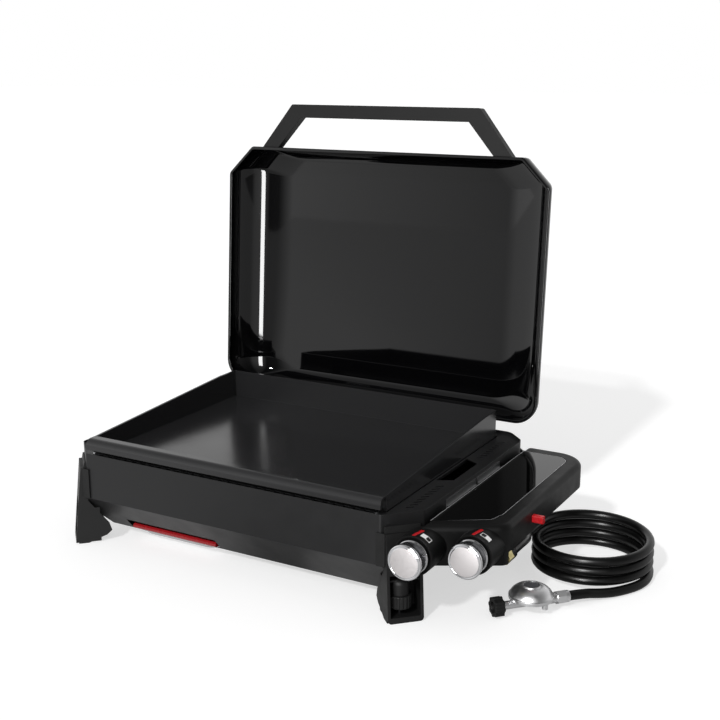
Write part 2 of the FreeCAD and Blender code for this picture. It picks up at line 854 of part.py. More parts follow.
# Burner cradles: two steel angles from side wall to side wall, on which the burners rest

cradle_top = size.burner_height - size.burner_radius - size.seat_gap
cradles = []
inner_side = size.box_half - size.steel_sheet
for y in (size.cradle_front, size.cradle_rear):
    seat = block(-inner_side, inner_side, y, y + size.cradle_width, cradle_top - size.cradle_steel, cradle_top)
    web = block(-inner_side, inner_side, y, y + size.cradle_steel, cradle_top - size.cradle_depth,
                cradle_top - size.cradle_steel)
    cradles.append(fuse("Cradle", seat, web))
keep(group("burner_cradles", *cradles))

# Electrodes: a ceramic rod beside each burner, standing on the front cradle

electrode_y = size.cradle_front + size.cradle_width / 2.0
electrodes = [rod("Z", side * size.burner_x + size.burner_leg - 22.0, electrode_y, cradle_top,
                  size.electrode_radius, 26.0) for side in (-1.0, 1.0)]
keep(group("electrodes", *electrodes))

# Gas pipes: aluminium tubes from the valves to the burners' open ends, each with a brass jet

pod_right_x = size.pod_left_x + size.pod_pitch_x
jet_start = size.burner_front - 2.0 - size.jet_length
pipes = []
jets = []
for side, pod_x, shift, y in ((-1.0, size.pod_left_x, 0.0, size.left_pipe_y),
                              (1.0, pod_right_x, size.pod_pitch_y, size.right_pipe_y)):
    mouth_x = number(side * size.burner_x + size.burner_leg)
    pipe_x = number(pod_x + size.valve_block / 2.0)
    height = number(size.burner_height)
    outlet = number(size.valve_rear + size.valve_block + shift)
    points = [Vector(pipe_x, outlet, height), Vector(pipe_x, number(y), height),
              Vector(mouth_x, number(y), height), Vector(mouth_x, number(jet_start), height)]
    bend = min(number(size.pipe_radius) * 2.5, (number(jet_start) - number(y)) * 0.8)
    shape = swept_tube(tube_path(points, bend), number(size.pipe_radius),
                       number(size.pipe_radius - size.pipe_wall))
    pipes.append(made("GasPipe", shape))
    jets.append(rod("Y", side * size.burner_x + size.burner_leg, jet_start, size.burner_height,
                    size.jet_radius, size.jet_length))
keep(group("gas_pipes", *pipes))
keep(group("brass_jets", *jets))

# Grease chute: a short sheet duct from the plate's drain slot down to the tray

chute_left = size.drain_x - size.chute_width / 2.0
chute_front = size.drain_y - size.chute_depth / 2.0
chute_rear = chute_front + size.chute_depth
chute_low = size.pull_high + 2.0
chute_outer = block(chute_left, chute_left + size.chute_width, chute_front, chute_rear, chute_low,
                    plate_floor - 0.6)
chute_inner = block(chute_left + 1.0, chute_left + size.chute_width - 1.0, chute_front + 1.0,
                    chute_rear - 1.0, chute_low - 1.0, plate_floor)
chute_tab = block(chute_left + 10.0, chute_left + size.chute_width - 10.0, chute_rear - 0.5,
                  size.cradle_front, cradle_top - size.cradle_steel - 6.0, cradle_top - size.cradle_steel - 4.0)
keep(fuse("grease_chute", cut("ChuteDuct", chute_outer, chute_inner), chute_tab))

# Grease tray: a pressed pan that hangs by its rim from the box floor, with a moulded pull and a foil

def dish(label, x_low, x_high, y_low, y_high, low, high, turn, wall):
    """An open pan with rounded corners and a rounded foot."""
    solids = []
    for inset, bottom, top in ((zero, low, high), (wall, low + wall, high + 1.0)):
        body = new_body(label + ("Inside" if solids else "Outside"))
        outline = rectangle(x_low + inset, x_high - inset, y_low + inset, y_high - inset)
        pad(body, "XY", bottom, top, outline)
        round_corners(body, 2, outline, turn - inset)
        round_rim(body, bottom, 5.0 - inset)
        solids.append(body)
    return cut(label, *solids)


rim_low = floor_top + size.running_gap
rim_high = rim_low + size.tray_rim_steel
pan_front, pan_rear = size.tray_front + 1.0, tray_rear - size.tray_rim
pan = dish("TrayPan", pan_left, pan_right, pan_front, pan_rear, size.tray_floor, rim_high,
           size.tray_round, size.tray_steel)
rim_plate = new_body("TrayRim")
rim_outline = rectangle(size.tray_left, size.tray_right, size.tray_front, tray_rear)
pad(rim_plate, "XY", rim_low, rim_high, rim_outline)
round_corners(rim_plate, 2, rim_outline, size.tray_rim)
rim_hole = new_body("TrayRimHole")
hole_outline = rectangle(pan_left + 0.5, pan_right - 0.5, pan_front + 0.5, pan_rear - 0.5)
pad(rim_hole, "XY", rim_low - 1.0, rim_high + 1.0, hole_outline)
round_corners(rim_hole, 2, hole_outline, size.tray_round - 0.5)
keep(fuse("grease_tray", cut("TrayRimRing", rim_plate, rim_hole), pan))

pull = new_body("PullBar")
pull_left = size.tray_left + size.pull_inset
pull_right = size.tray_right - size.pull_inset
pull_front = size.tray_front - size.pull_depth
pull_profile = [(pull_front, size.pull_low + 2.5), (pull_front + 2.5, size.pull_low),
                (size.tray_front, size.pull_low), (size.tray_front + 3.0, rim_high),
                (size.tray_front + 3.0, size.pull_high), (pull_front + 3.0, size.pull_high),
                (pull_front, size.pull_high - 3.0)]
pad(pull, "YZ", pull_left, pull_right, pull_profile)
keep(cut("tray_pull", pull, block(pull_left - 1.0, pull_right + 1.0, size.tray_front, size.tray_front + 4.0,
                                  size.pull_low - 1.0, rim_high)))

liner_inset = size.tray_steel + size.running_gap
keep(dish("foil_liner", pan_left + liner_inset, pan_right - liner_inset, pan_front + liner_inset,
          pan_rear - liner_inset, size.tray_floor + size.tray_steel, rim_high - 0.5,
          size.tray_round - liner_inset, size.foil_thickness))

rails = []
rail_front = size.undercut_depth + 7.0
rail_high = rim_high + size.running_gap + size.rail_steel
for edge, outward in ((size.tray_left, -1.0), (size.tray_right, 1.0)):
    web_x = sorted((edge + outward * 0.5, edge + outward * (0.5 + size.rail_steel)), key=number)
    lip_x = sorted((edge - outward * size.rail_lip, edge + outward * 0.5), key=number)
    web = block(web_x[0], web_x[1], rail_front, tray_rear + 4.0, floor_top, rail_high)
    lip = block(lip_x[0], lip_x[1], rail_front, tray_rear + 4.0, rail_high - size.rail_steel, rail_high)
    rails.append(fuse("TrayRail", web, lip))
keep(group("tray_rails", *rails))

# Corner legs: moulded posts that lean out from the cut-off corners. Each is drawn with its outer face
# along +X and its middle on Y zero, then turned to its corner. The front pair hold levelling wheels.

leg_lean = (size.leg_foot_reach - size.leg_top_reach) / size.leg_top
leg_room = size.wheel_radius - size.wheel_reach + size.running_gap * 3.0
lower_back = leg_room + size.leg_wall


def leg_reach(height):
    return size.leg_foot_reach - leg_lean * height


def leg_post(width):
    """A post with a window in its outer wall, a room behind it closed by a back wall and a shelf above."""
    body = new_body("LegPost")
    half = width / 2.0
    neck = size.leg_top_reach * 0.3
    above_shelf = size.leg_shelf + size.leg_wall
    outline = [(zero, size.leg_neck_top), (neck, size.leg_neck_top), (neck + 2.0, size.leg_top),
               (size.leg_top_reach, size.leg_top), (size.leg_foot_reach, zero), (-lower_back, zero),
               (-lower_back, above_shelf), (zero, above_shelf)]
    pad(body, "XZ", -half, half, outline)
    round_corners(body, 0, [(half, zero), (-half, zero)], size.leg_sill * 0.7)
    inside = half - size.leg_wall
    low, shelf, high = size.leg_sill, size.leg_shelf, size.leg_top - size.leg_wall
    pocket(body, "XZ", -inside, inside,
           [(-leg_room, low), (leg_reach(low) - size.leg_wall, low),
            (leg_reach(shelf) - size.leg_wall, shelf), (-leg_room, shelf)])
    pocket(body, "XZ", -inside, inside,
           [(zero - 1.0, above_shelf), (leg_reach(above_shelf) - size.leg_wall, above_shelf),
            (leg_reach(high) - size.leg_wall, high), (zero - 1.0, high)])
    across = half - size.leg_window_margin
    pocket(body, "YZ", size.leg_top_reach, size.leg_foot_reach + 1.0,
           rectangle(-across, across, size.leg_sill, size.leg_window_top))
    return body


front_leg_shift = (size.leg_offset + size.leg_width / 2.0) / ROOT2
rear_leg_shift = size.rear_chamfer / 2.0
CORNERS = {
    "front_right": (1.0, -1.0, -45.0),
    "front_left": (-1.0, -1.0, -135.0),
    "rear_right": (1.0, 1.0, 45.0),
    "rear_left": (-1.0, 1.0, 135.0),
}


def corner_spot(side, end):
    if end < 0:
        return side * (size.panel_half + front_leg_shift), front_leg_shift
    return side * (size.box_half - rear_leg_shift), size.box_rear - rear_leg_shift


def set_at_corner(piece, side, end, angle):
    """Turns a piece drawn for a leg to its corner of the cookbox."""
    x, y = corner_spot(side, end)
    piece.Placement = FreeCAD.Placement(Vector(), Rotation(Vector(0, 0, 1), angle))
    bind(piece, "Placement.Base.x", x)
    bind(piece, "Placement.Base.y", y)
    return piece


def wheel_spot(side):
    """Centre of a front leg's levelling wheel, a little inwards from the middle of its window."""
    x, y = corner_spot(side, -1.0)
    return (x + side * (size.wheel_reach - size.wheel_side) / ROOT2,
            y - (size.wheel_reach + size.wheel_side) / ROOT2)


for corner, (side, end, angle) in CORNERS.items():
    if end > 0:
        keep(cut("leg_" + corner, set_at_corner(leg_post(size.rear_leg_width), side, end, angle), outer_box))
        continue
    post = set_at_corner(leg_post(size.leg_width), side, end, angle)
    # The side towards the front panel runs back under the undercut, and a lip laps the panel's end
    inner = -size.leg_width / 2.0 if side > 0 else size.leg_width / 2.0 - size.leg_wall
    flank = new_body("LegFlank")
    foot = size.leg_foot_reach
    pad(flank, "XZ", inner, inner + size.leg_wall,
        [(size.leg_top_reach, size.crease_height), (size.leg_top_reach * 0.2, size.crease_height - 5.0),
         (-foot * 1.38, size.crease_height * 0.39), (-foot * 1.55, size.leg_sill * 2.25),
         (-foot * 1.18, size.leg_sill * 1.35), (-foot * 0.45, size.leg_sill * 0.65), (foot * 0.1, zero),
         (foot * 0.8, zero)])
    set_at_corner(flank, side, end, angle)
    x, y = wheel_spot(side)
    boss = new_body("WheelBoss")
    boss_low, boss_high = size.wheel_high + size.running_gap, size.leg_shelf + size.leg_wall
    pad(boss, "XY", boss_low, boss_high, Circle(x, y, size.boss_radius))
    round_rim(boss, boss_high, size.boss_round)
    stud_hole = rod("Z", x, y, zero - 1.0, size.foot_stud + size.running_gap, size.leg_shelf - 4.0)
    pad_hole = rod("Z", x, y, zero - 1.0, size.foot_pad + size.running_gap, size.leg_sill - 1.5)
    lip_x = sorted((side * (size.panel_half - size.leg_lip + size.leg_offset),
                    side * (size.panel_half + size.leg_offset * 1.6)), key=number)
    lip = block(lip_x[0], lip_x[1], zero - 2.5, zero, size.crease_height, size.leg_top)
    whole = cut("LegWhole", fuse("LegPieces", post, flank, boss, lip), stud_hole, pad_hole)
    keep(cut("leg_" + corner, whole, outer_box))

# Levelling wheels and feet of the front legs: a ribbed wheel in the leg's window and a threaded foot

for corner in ("front_right", "front_left"):
    x, y = wheel_spot(CORNERS[corner][0])
    height = number(size.wheel_high - size.wheel_low)
    rim_radius = number(size.wheel_radius)
    disc = Part.makeCylinder(rim_radius, height)
    disc = disc.makeFillet(1.5, [edge for edge in disc.Edges if len(edge.Vertexes) == 1 and edge.Closed])
    tools = [Part.makeCylinder(number(size.foot_stud + size.running_gap), height + 2.0, Vector(0, 0, -1))]
    count = int(number(size.wheel_grooves))
    for k in range(count):
        turn = 2.0 * math.pi * k / count
        spot = Vector(math.cos(turn), math.sin(turn), 0) * (rim_radius + 1.4)
        tools.append(Part.makeCylinder(2.2, height + 2.0, spot - Vector(0, 0, 1)))
    wheel_shape = disc.cut(Part.makeCompound(tools))
    wheel_shape.translate(Vector(number(x), number(y), number(size.wheel_low)))
    keep(made("levelling_wheel_" + corner, wheel_shape))
    stud = rod("Z", x, y, size.foot_raise, size.foot_stud, size.wheel_high + 4.0)
    pad_disc = rod("Z", x, y, size.foot_raise, size.foot_pad, size.leg_sill - 4.5)
    keep(fuse("levelling_foot_" + corner, stud, pad_disc))

# Leg bolts and panel screws

bolts = []
for corner, (side, end, angle) in CORNERS.items():
    for across in (-size.bolt_spread / 2.0, size.bolt_spread / 2.0):
        for height in (size.leg_top - size.bolt_drop - size.bolt_pitch, size.leg_top - size.bolt_drop):
            head = doc.addObject("Part::Cylinder", "BoltHead")
            bind(head, "Radius", size.bolt_radius)
            bind(head, "Height", size.bolt_head)
            x, y = corner_spot(side, end)
            inward = size.steel_sheet + size.bolt_head
            slant = across / ROOT2
            along_x, along_y = (slant, slant * side) if end < 0 else (-slant, slant * side)
            head.Placement = FreeCAD.Placement(Vector(), Rotation(Vector(0, 0, 1), Vector(side, end, 0)))
            bind(head, "Placement.Base.x", x - side * inward / ROOT2 + along_x)
            bind(head, "Placement.Base.y", y - end * inward / ROOT2 + along_y)
            bind(head, "Placement.Base.z", height)
            bolts.append(head)
keep(group("leg_bolts", *bolts))

panel_screws = [rod("Z", side * (size.panel_half - size.panel_screw_inset), size.vent_front + 3.0,
                    size.ledge_height, size.panel_screw_radius, size.panel_screw_head)
                for side in (-1.0, 1.0)]
keep(group("panel_screws", *panel_screws))

# Console: a moulded housing along the right side with two round pods for the knobs

console = new_body("ConsoleMain")
console_outline = [(size.console_left, size.console_front), (size.console_right, size.console_corner_y),
                   (size.console_right, size.console_rear), (size.console_left, size.console_rear)]
pad(console, "XY", size.console_floor, size.console_top, console_outline)
round_corners(console, 2, [console_outline[2]], size.console_rear_round)
round_corners(console, 2, [console_outline[1]], size.console_front_round)
round_corners(console, 2, [console_outline[3]], size.console_left_round)
round_rim(console, size.console_top, size.console_top_round, size.console_left + 1.0)

step = new_body("ConsoleStep")
step_slope = (size.console_corner_y - size.console_front) / (size.console_right - size.console_left)
step_right = size.console_right - 2.0
step_front = size.console_front + step_slope * (step_right - size.console_left)
pad(step, "XY", size.console_step_floor, size.console_floor + 2.0,
    [(size.console_left, size.console_front), (step_right, step_front), (step_right, size.console_step_y),
     (size.console_left, size.console_step_y)])
round_corners(step, 2, [(step_right, step_front)], (size.console_step_y - step_front) * 1.6)


def pods(label, radius, front, rear, side_inset):
    """Both pods; the left one is cut back where it would meet the front right leg."""
    pieces = []
    for x, shift in ((size.pod_left_x, zero), (pod_right_x, size.pod_pitch_y)):
        pieces.append(rod("Y", x, front + shift, size.pod_height, radius, rear - front))
    keep_out = new_body("PodCutBack")
    left = size.pod_left_x - size.pod_radius - 5.0
    start = size.pod_front + size.pod_radius * 0.58 - side_inset
    pad(keep_out, "XY", size.console_step_floor - 10.0, size.console_top + 5.0,
        [(left, start), (size.pod_left_x - size.pod_radius, start),
         (size.console_left + side_inset, start + size.pod_radius - (size.pod_left_x - size.console_left) + side_inset),
         (size.console_left + side_inset, start + size.pod_radius * 3.0), (left, start + size.pod_radius * 3.0)])
    return cut(label, fuse(label + "Pair", *pieces), keep_out)


pod_depth = size.console_step_y - size.pod_front - size.pod_pitch_y
outer_pods = pods("PodsOuter", size.pod_radius, size.pod_front, size.pod_front + pod_depth, zero)
pod_bore = size.pod_radius - size.console_wall
inner_pods = pods("PodsInner", pod_bore, size.pod_front + size.pod_wall, size.pod_front + pod_depth,
                  size.console_wall)
inside_left = size.console_left + size.console_wall
inside_right = size.console_right - size.console_wall
inside_top = size.console_top - size.console_deck
main_hollow = new_body("ConsoleHollow")
hollow_front = size.console_step_y + size.console_wall


def hollow_plan(gap):
    """Plan of the room behind the pods, drawn in by a gap."""
    front, right = hollow_front + gap, inside_right - gap
    rear, left = size.console_rear - size.console_wall - gap, inside_left + gap
    return [(left, front), (right - 12.0, front), (right, front + 12.0), (right, rear), (left, rear)]


hollow_outline = hollow_plan(zero)
pad(main_hollow, "XY", size.console_floor - 1.0, inside_top, hollow_outline)
round_corners(main_hollow, 2, [hollow_outline[3]], size.console_rear_round - size.console_wall)
round_corners(main_hollow, 2, [hollow_outline[4]], size.console_left_round - size.console_wall)
front_hollow = new_body("ConsoleFrontHollow")
slant_inset = size.console_wall * 1.16
hollow_corner = (step_right - size.console_wall, step_front + slant_inset - step_slope * size.console_wall)
pad(front_hollow, "XY", size.console_step_floor + size.console_wall, inside_top,
    [(inside_left, size.console_front + slant_inset + step_slope * size.console_wall),
     hollow_corner, (step_right - size.console_wall, size.console_step_y + 14.0),
     (inside_left, size.console_step_y + 14.0)])
round_corners(front_hollow, 2, [hollow_corner], size.console_front_round * 0.56)
step_back = block(inside_left - 1.0, step_right + 1.0, size.console_step_y - size.console_wall,
                  size.console_step_y + 16.0, size.console_step_floor - 1.0, size.console_floor)
front_room = cut("ConsoleFrontRoom", front_hollow, step_back)

def glass_solid(label, grow, low, high):
    body = new_body(label)
    outline = [(size.glass_left - grow, size.glass_front - grow),
               (size.glass_nose + grow * 0.6, size.glass_front_right - grow * 1.1),
               (size.glass_right + grow, size.glass_side_start),
               (size.glass_right + grow, size.glass_rear + grow), (size.glass_left - grow, size.glass_rear + grow)]
    pad(body, "XY", low, high, outline)
    round_corners(body, 2, [outline[3]], size.glass_round + grow)
    return body


glass_seat = glass_solid("GlassSeat", size.glass_gap, size.console_top - size.glass_thickness,
                         size.console_top + 1.0)
recesses = [rod("Y", x, size.pod_front - 1.0 + shift, size.pod_height, size.pod_recess_radius,
                size.pod_recess + 1.0)
            for x, shift in ((size.pod_left_x, zero), (pod_right_x, size.pod_pitch_y))]
stem_holes = [rod("Y", x, size.pod_front + shift, size.pod_height, size.stem_radius + 1.5,
                  size.pod_wall + 2.0)
              for x, shift in ((size.pod_left_x, zero), (pod_right_x, size.pod_pitch_y))]
button_hole = block(size.console_right - size.console_wall - 2.0, size.console_right + 2.0,
                    size.button_y - size.button_width / 2.0 - size.running_gap,
                    size.button_y + size.button_width / 2.0 + size.running_gap,
                    size.button_z - size.button_height / 2.0 - size.running_gap,
                    size.button_z + size.button_height / 2.0 + size.running_gap)
wall_holes = [rod("X", size.console_left - 4.0, y, size.burner_height, size.pipe_radius + 0.5, 12.0)
              for y in (size.left_pipe_y, size.right_pipe_y)]
inlet_hole = rod("Y", size.inlet_x, size.console_step_y - size.console_wall - 2.0, size.inlet_z,
                 size.inlet_pipe_radius + size.running_gap, size.console_wall + 4.0)
housing_solid = fuse("HousingSolid", console, step, outer_pods)
keep(cut("console_housing", housing_solid, main_hollow, front_room, inner_pods, glass_seat, *recesses,
         *stem_holes, button_hole, *wall_holes, inlet_hole))

# Console base: a flat cover closing the housing from below

base = new_body("console_base")
base_outline = hollow_plan(size.glass_gap)
pad(base, "XY", size.console_floor, size.console_floor + size.base_thickness, base_outline)
round_corners(base, 2, [base_outline[3]], size.console_rear_round - size.console_wall - size.glass_gap)
round_corners(base, 2, [base_outline[4]], size.console_left_round - size.console_wall - size.glass_gap)
keep(base)

# Glass panel let into the console's deck, flush with it

keep(glass_solid("glass_panel", zero, size.console_top - size.glass_thickness, size.console_top - 0.2))

# Console brackets: two steel bars that carry the console on the cookbox wall, each with a flange up the wall

brackets = []
for front, rear in ((size.bracket_front, size.bracket_gap_front), (size.bracket_gap_rear, size.bracket_rear)):
    bar = block(size.box_half, size.console_left, front, rear, size.bracket_low, size.bracket_high)
    flange = block(size.box_half, size.box_half + size.bracket_flange, front, rear, size.bracket_low,
                   size.bracket_high + size.bracket_flange_rise)
    brackets.append(fuse("Bracket", bar, flange))
keep(group("console_brackets", *brackets))

# Knobs, stems and valves: pushing a knob slides its stem in the plug, and turning it turns both

valve_front = size.pod_front + size.pod_wall
for name, x, shift in (("left", size.pod_left_x, zero), ("right", pod_right_x, size.pod_pitch_y)):
    height = size.pod_height
    knob_front, knob_rear = size.knob_front + shift, size.knob_rear + shift
    barrel = rod("Y", x, knob_front, height, size.knob_radius, knob_rear - knob_front)
    rim = rod("Y", x, knob_front, height, size.knob_radius + size.knob_rim, size.knob_rim_length)
    ring = rod("Y", x, knob_rear - size.knob_ring_length, height, size.knob_radius + size.knob_ring,
               size.knob_ring_length)
    bore = rod("Y", x, size.stem_front - size.running_gap + shift, height, size.stem_radius + size.turn_gap,
               size.knob_rear - size.stem_front + 2.0)
    keep(cut("knob_" + name, fuse("KnobSolid", barrel, rim, ring), bore))
    keep(rod("Y", x, knob_front - size.cap_thickness, height, size.cap_radius, size.cap_thickness),
         "knob_cap_" + name)
    keep(rod("Y", x, size.stem_front + shift, height, size.stem_radius, size.stem_rear - size.stem_front),
         "valve_stem_" + name)
    plug_solid = rod("Y", x, size.plug_front + shift, height, size.plug_radius,
                     size.plug_rear - size.plug_front)
    plug_bore = rod("Y", x, size.plug_front - 1.0 + shift, height, size.stem_radius + size.running_gap,
                    size.plug_rear - size.plug_front - 1.0)
    keep(cut("valve_plug_" + name, plug_solid, plug_bore))
    valve_tube = rod("Y", x, valve_front + shift, height, size.valve_radius, size.valve_rear - valve_front)
    outlet = block(x, x + size.valve_block, size.valve_rear - 4.0 + shift,
                   size.valve_rear + size.valve_block + shift, height - size.valve_block / 2.0,
                   height + size.valve_block / 2.0)
    valve_bore = rod("Y", x, valve_front - 1.0 + shift, height, size.plug_radius + size.turn_gap,
                     size.plug_rear - valve_front + 1.5)
    keep(cut("valve_body_" + name, fuse("ValveSolid", valve_tube, outlet), valve_bore))

# Manifold: the pipe that feeds both valves from the inlet under the right pod

valve_low = size.pod_height - size.valve_block / 2.0
inlet_start = size.console_step_y + 0.5
valve_middle = size.valve_block / 2.0
riser_spots = [(size.pod_left_x + valve_middle, size.valve_rear + valve_middle),
               (pod_right_x + valve_middle, size.valve_rear + size.pod_pitch_y + valve_middle - 3.5)]
manifold_z = valve_low - size.manifold_radius - 3.0
risers = [rod("Z", x, y, manifold_z, size.manifold_radius - 0.5, valve_low - manifold_z) for x, y in riser_spots]
ends = [Vector(number(x), number(y), number(manifold_z)) for x, y in riser_spots]
way = (ends[1] - ends[0]).normalize()
runner = made("ManifoldRun", Part.makeCylinder(number(size.manifold_radius), ends[0].distanceToPoint(ends[1]) + 6.0,
                                               ends[0] - way * 3.0, way))
link_rear = size.console_step_y - size.console_wall - size.running_gap
link_left = riser_spots[1][0] - 4.0
links = [block(link_left, link_left + 8.0, riser_spots[1][1], link_rear, size.inlet_z - 3.0, size.inlet_z + 5.0),
         block(link_left, size.inlet_x + 3.0, link_rear - 3.0, link_rear, size.inlet_z - 3.0, size.inlet_z + 5.0)]
inlet_tube = rod("Y", size.inlet_x, link_rear - 2.0, size.inlet_z, size.inlet_pipe_radius,
                 inlet_start - link_rear + 2.0)
keep(fuse("gas_manifold", runner, inlet_tube, *links, *risers))

# Igniter: a battery module behind the console's right wall, pressed by the red button

button_front = size.button_y - size.button_width / 2.0
button_low = size.button_z - size.button_height / 2.0
button = new_body("igniter_button")
button_tip = size.console_right + size.button_proud
button_base = button_tip - size.button_length
pad(button, "YZ", button_base, button_tip,
    rectangle(button_front, button_front + size.button_width, button_low, button_low + size.button_height))
round_corners(button, 0, [(y, z) for y in (button_front, button_front + size.button_width)
                          for z in (button_low, button_low + size.button_height)], size.button_width * 0.2)
keep(button)
module_right = button_base - 4.5
keep(block(module_right - size.module_length, module_right, size.button_y - size.module_width / 2.0,
           size.button_y + size.module_width / 2.0, size.console_floor + size.base_thickness,
           size.console_floor + size.base_thickness + size.module_height), "igniter_module")

# Lid: a pressed shell with round shoulders, drawn as it lies closed and swung open at the end


def lid_ring(rise, inset, level):
    """The lid's outline where it has risen by a share of its depth: slow shoulders at the sides, and at the
    ends walls that lean in and turn over tightly."""
    lean = number(size.lid_end_draft) * rise ** 4
    draw = lean + number(size.lid_end_round) * (1.0 - (1.0 - rise ** 6) ** (1.0 / 6.0))
    half = number(size.lid_half) - number(size.lid_crown_side) * (1.0 - math.sqrt(1.0 - rise ** 2)) - inset
    back = number(size.lid_rear) - draw - inset
    front = number(size.lid_rear - size.lid_length) + draw + inset
    nip = number(size.lid_chamfer) * (1.0 - 0.36 * rise) - inset * (2.0 - ROOT2)
    curl = number(size.lid_rear_round) * (1.0 - 0.3 * rise ** 4) - inset
    corner = curl * (1.0 - 1.0 / ROOT2)
    right = [Vector(half - nip, front, level), Vector(half, front + nip, level),
             Vector(half, back - curl, level), Vector(half - curl, back, level)]
    left = [Vector(-point.x, point.y, level) for point in reversed(right)]
    bend_right = Vector(half - corner, back - corner, level)
    bend_left = Vector(-bend_right.x, bend_right.y, level)
    edges = [Part.LineSegment(right[0], right[1]).toShape(), Part.LineSegment(right[1], right[2]).toShape(),
             Part.Arc(right[2], bend_right, right[3]).toShape(), Part.LineSegment(right[3], left[0]).toShape(),
             Part.Arc(left[0], bend_left, left[1]).toShape(), Part.LineSegment(left[1], left[2]).toShape(),
             Part.LineSegment(left[2], left[3]).toShape(), Part.LineSegment(left[3], right[0]).toShape()]
    return Part.Wire(edges)


def lid_solid(inset, low):
    """The lid as a full block; its walls stand upright at the seat and roll over into the crown."""
    seat, depth = number(size.lid_seat), number(size.lid_depth)
    last = int(number(size.lid_rings)) - 1
    rings = []
    for k in range(last + 1):
        rise = math.sin(0.5 * math.pi * k / last) ** (2.0 / 3.0)
        level = seat + depth * rise - inset * rise ** 2 - (low if k == 0 else 0.0)
        rings.append(lid_ring(min(rise, 1.0), inset, level))
    return Part.makeLoft(rings, True, True)


lid_outer = lid_solid(0.0, 0.0)
lid_inner = lid_solid(number(size.lid_sheet), 0.5)
bead_outer = Part.Face(lid_ring(0.0, 0.0, number(size.lid_seat))).extrude(Vector(0, 0, 3.0))
bead_inner = Part.Face(lid_ring(0.0, number(size.lid_bead), number(size.lid_seat) - 1.0))
bead = bead_outer.cut(bead_inner.extrude(Vector(0, 0, 5.0)))
bead = bead.common(lid_outer)
lid_shell = made("lid_shell", lid_outer.cut(lid_inner).fuse(bead).removeSplitter())
lid_parts.append(keep(lid_shell).Label)

# Lid handle: a flat bar bent into a wide arch in front of the lid, fitted to its front wall

handle_front = size.lid_rear - size.lid_length - size.lid_handle_reach
handle_feet = size.lid_rear - size.lid_length + 12.0
bar = size.lid_handle_bar
top_inner = size.lid_handle_top - bar * 0.84
loop = new_body("LidHandleLoop")
handle_low = size.lid_seat + size.lid_handle_low
foot_spread = size.lid_handle_foot + 9.0
pad(loop, "XY", handle_low, handle_low + size.lid_handle_depth,
    [(-foot_spread, handle_feet), (-size.lid_handle_top, handle_front), (size.lid_handle_top, handle_front),
     (foot_spread, handle_feet), (foot_spread - bar * 1.4, handle_feet),
     (top_inner, handle_front + bar), (-top_inner, handle_front + bar), (-foot_spread + bar * 1.4, handle_feet)])
round_corners(loop, 2, [(-size.lid_handle_top, handle_front), (size.lid_handle_top, handle_front)], bar * 0.25)
grip_front = handle_front + bar - size.grip_groove_depth
grip_start = -size.grip_groove_pitch * (size.grip_grooves - 1) / 2.0
groove = pocket(loop, "XY", handle_low, handle_low + size.lid_handle_depth,
                rectangle(grip_start - size.grip_groove_width / 2.0, grip_start + size.grip_groove_width / 2.0,
                          grip_front, grip_front + size.grip_groove_depth + 1.0))
repeat(loop, groove, "X", size.grip_groove_pitch, size.grip_grooves)
lid_block = made("LidBlock", lid_outer)
lid_parts.append(keep(cut("lid_handle", loop, lid_block)).Label)

lid_front = size.lid_rear - size.lid_length
screws = []
for x in (-size.handle_screw_x, size.handle_screw_x):
    head = rod("Y", x, lid_front + 0.5, handle_low + size.lid_handle_depth / 2.0, size.handle_screw_radius, 2.2)
    screws.append(cut("LidScrew", head, lid_shell))
for x in (-size.hinge_x, size.hinge_x):
    head = rod("Y", x, size.lid_rear - 3.2, size.lid_seat + 14.0, size.handle_screw_radius, 2.4)
    screws.append(cut("LidScrew", head, lid_shell))
lid_parts.append(keep(group("lid_screws", *screws)).Label)

# Hinges: a fixed bracket with two ears and a pin on the rear wall, and an arm under the lid's edge

fixed_leaves = []
arms = []
swing_low = size.hinge_z - size.hinge_radius
for side in (-1.0, 1.0):
    middle = side * size.hinge_x
    half = size.hinge_width / 2.0
    outer = half + size.hinge_side_gap + size.hinge_ear
    ears = []
    for low in (middle - outer, middle + outer - size.hinge_ear):
        ears.append(block(low, low + size.hinge_ear, size.box_rear, size.hinge_y, swing_low, size.hinge_z))
        ears.append(rod("X", low, size.hinge_y, size.hinge_z, size.hinge_radius, size.hinge_ear))
    back_plate = block(middle - outer, middle + outer, size.box_rear, size.box_rear + 2.0,
                       swing_low - 24.0, size.hinge_z)
    pin = rod("X", middle - outer, size.hinge_y, size.hinge_z, size.hinge_pin, outer * 2.0)
    fixed_leaves.append(fuse("HingeLeaf", back_plate, pin, *ears))
    knuckle = rod("X", middle - half, size.hinge_y, size.hinge_z, size.hinge_radius - 0.5, size.hinge_width)
    arm_bore = rod("X", middle - half - 1.0, size.hinge_y, size.hinge_z, size.hinge_pin + size.turn_gap,
                   size.hinge_width + 2.0)
    arm = block(middle - half, middle + half, size.lid_rear + 0.4, size.hinge_y, size.hinge_z - 2.0,
                size.hinge_z + 4.0)
    tongue = block(middle - half, middle + half, size.lid_rear - 1.0, size.lid_rear + 3.0,
                   size.hinge_z + 3.0, size.lid_seat + 26.0)
    whole = fuse("HingeArmWhole", knuckle, arm, tongue)
    arms.append(cut("HingeArm", whole, arm_bore, lid_block))
keep(group("hinge_brackets", *fixed_leaves))
lid_parts.append(keep(group("hinge_arms", *arms)).Label)

# Brass inlet nut and the hose's crimped ferrule

nut_hex = prism_rod("Y", size.inlet_x, inlet_start, size.inlet_z, size.inlet_nut_flats, size.inlet_nut_length)
ferrule = rod("Y", size.inlet_x, inlet_start + size.inlet_nut_length, size.inlet_z, size.ferrule_radius,
              size.ferrule_length)
inlet_end = inlet_start + size.inlet_nut_length + size.ferrule_length
keep(fuse("inlet_nut", nut_hex, ferrule))

# Hose: from the inlet down to a coil of stacked turns, and from its foot to the regulator

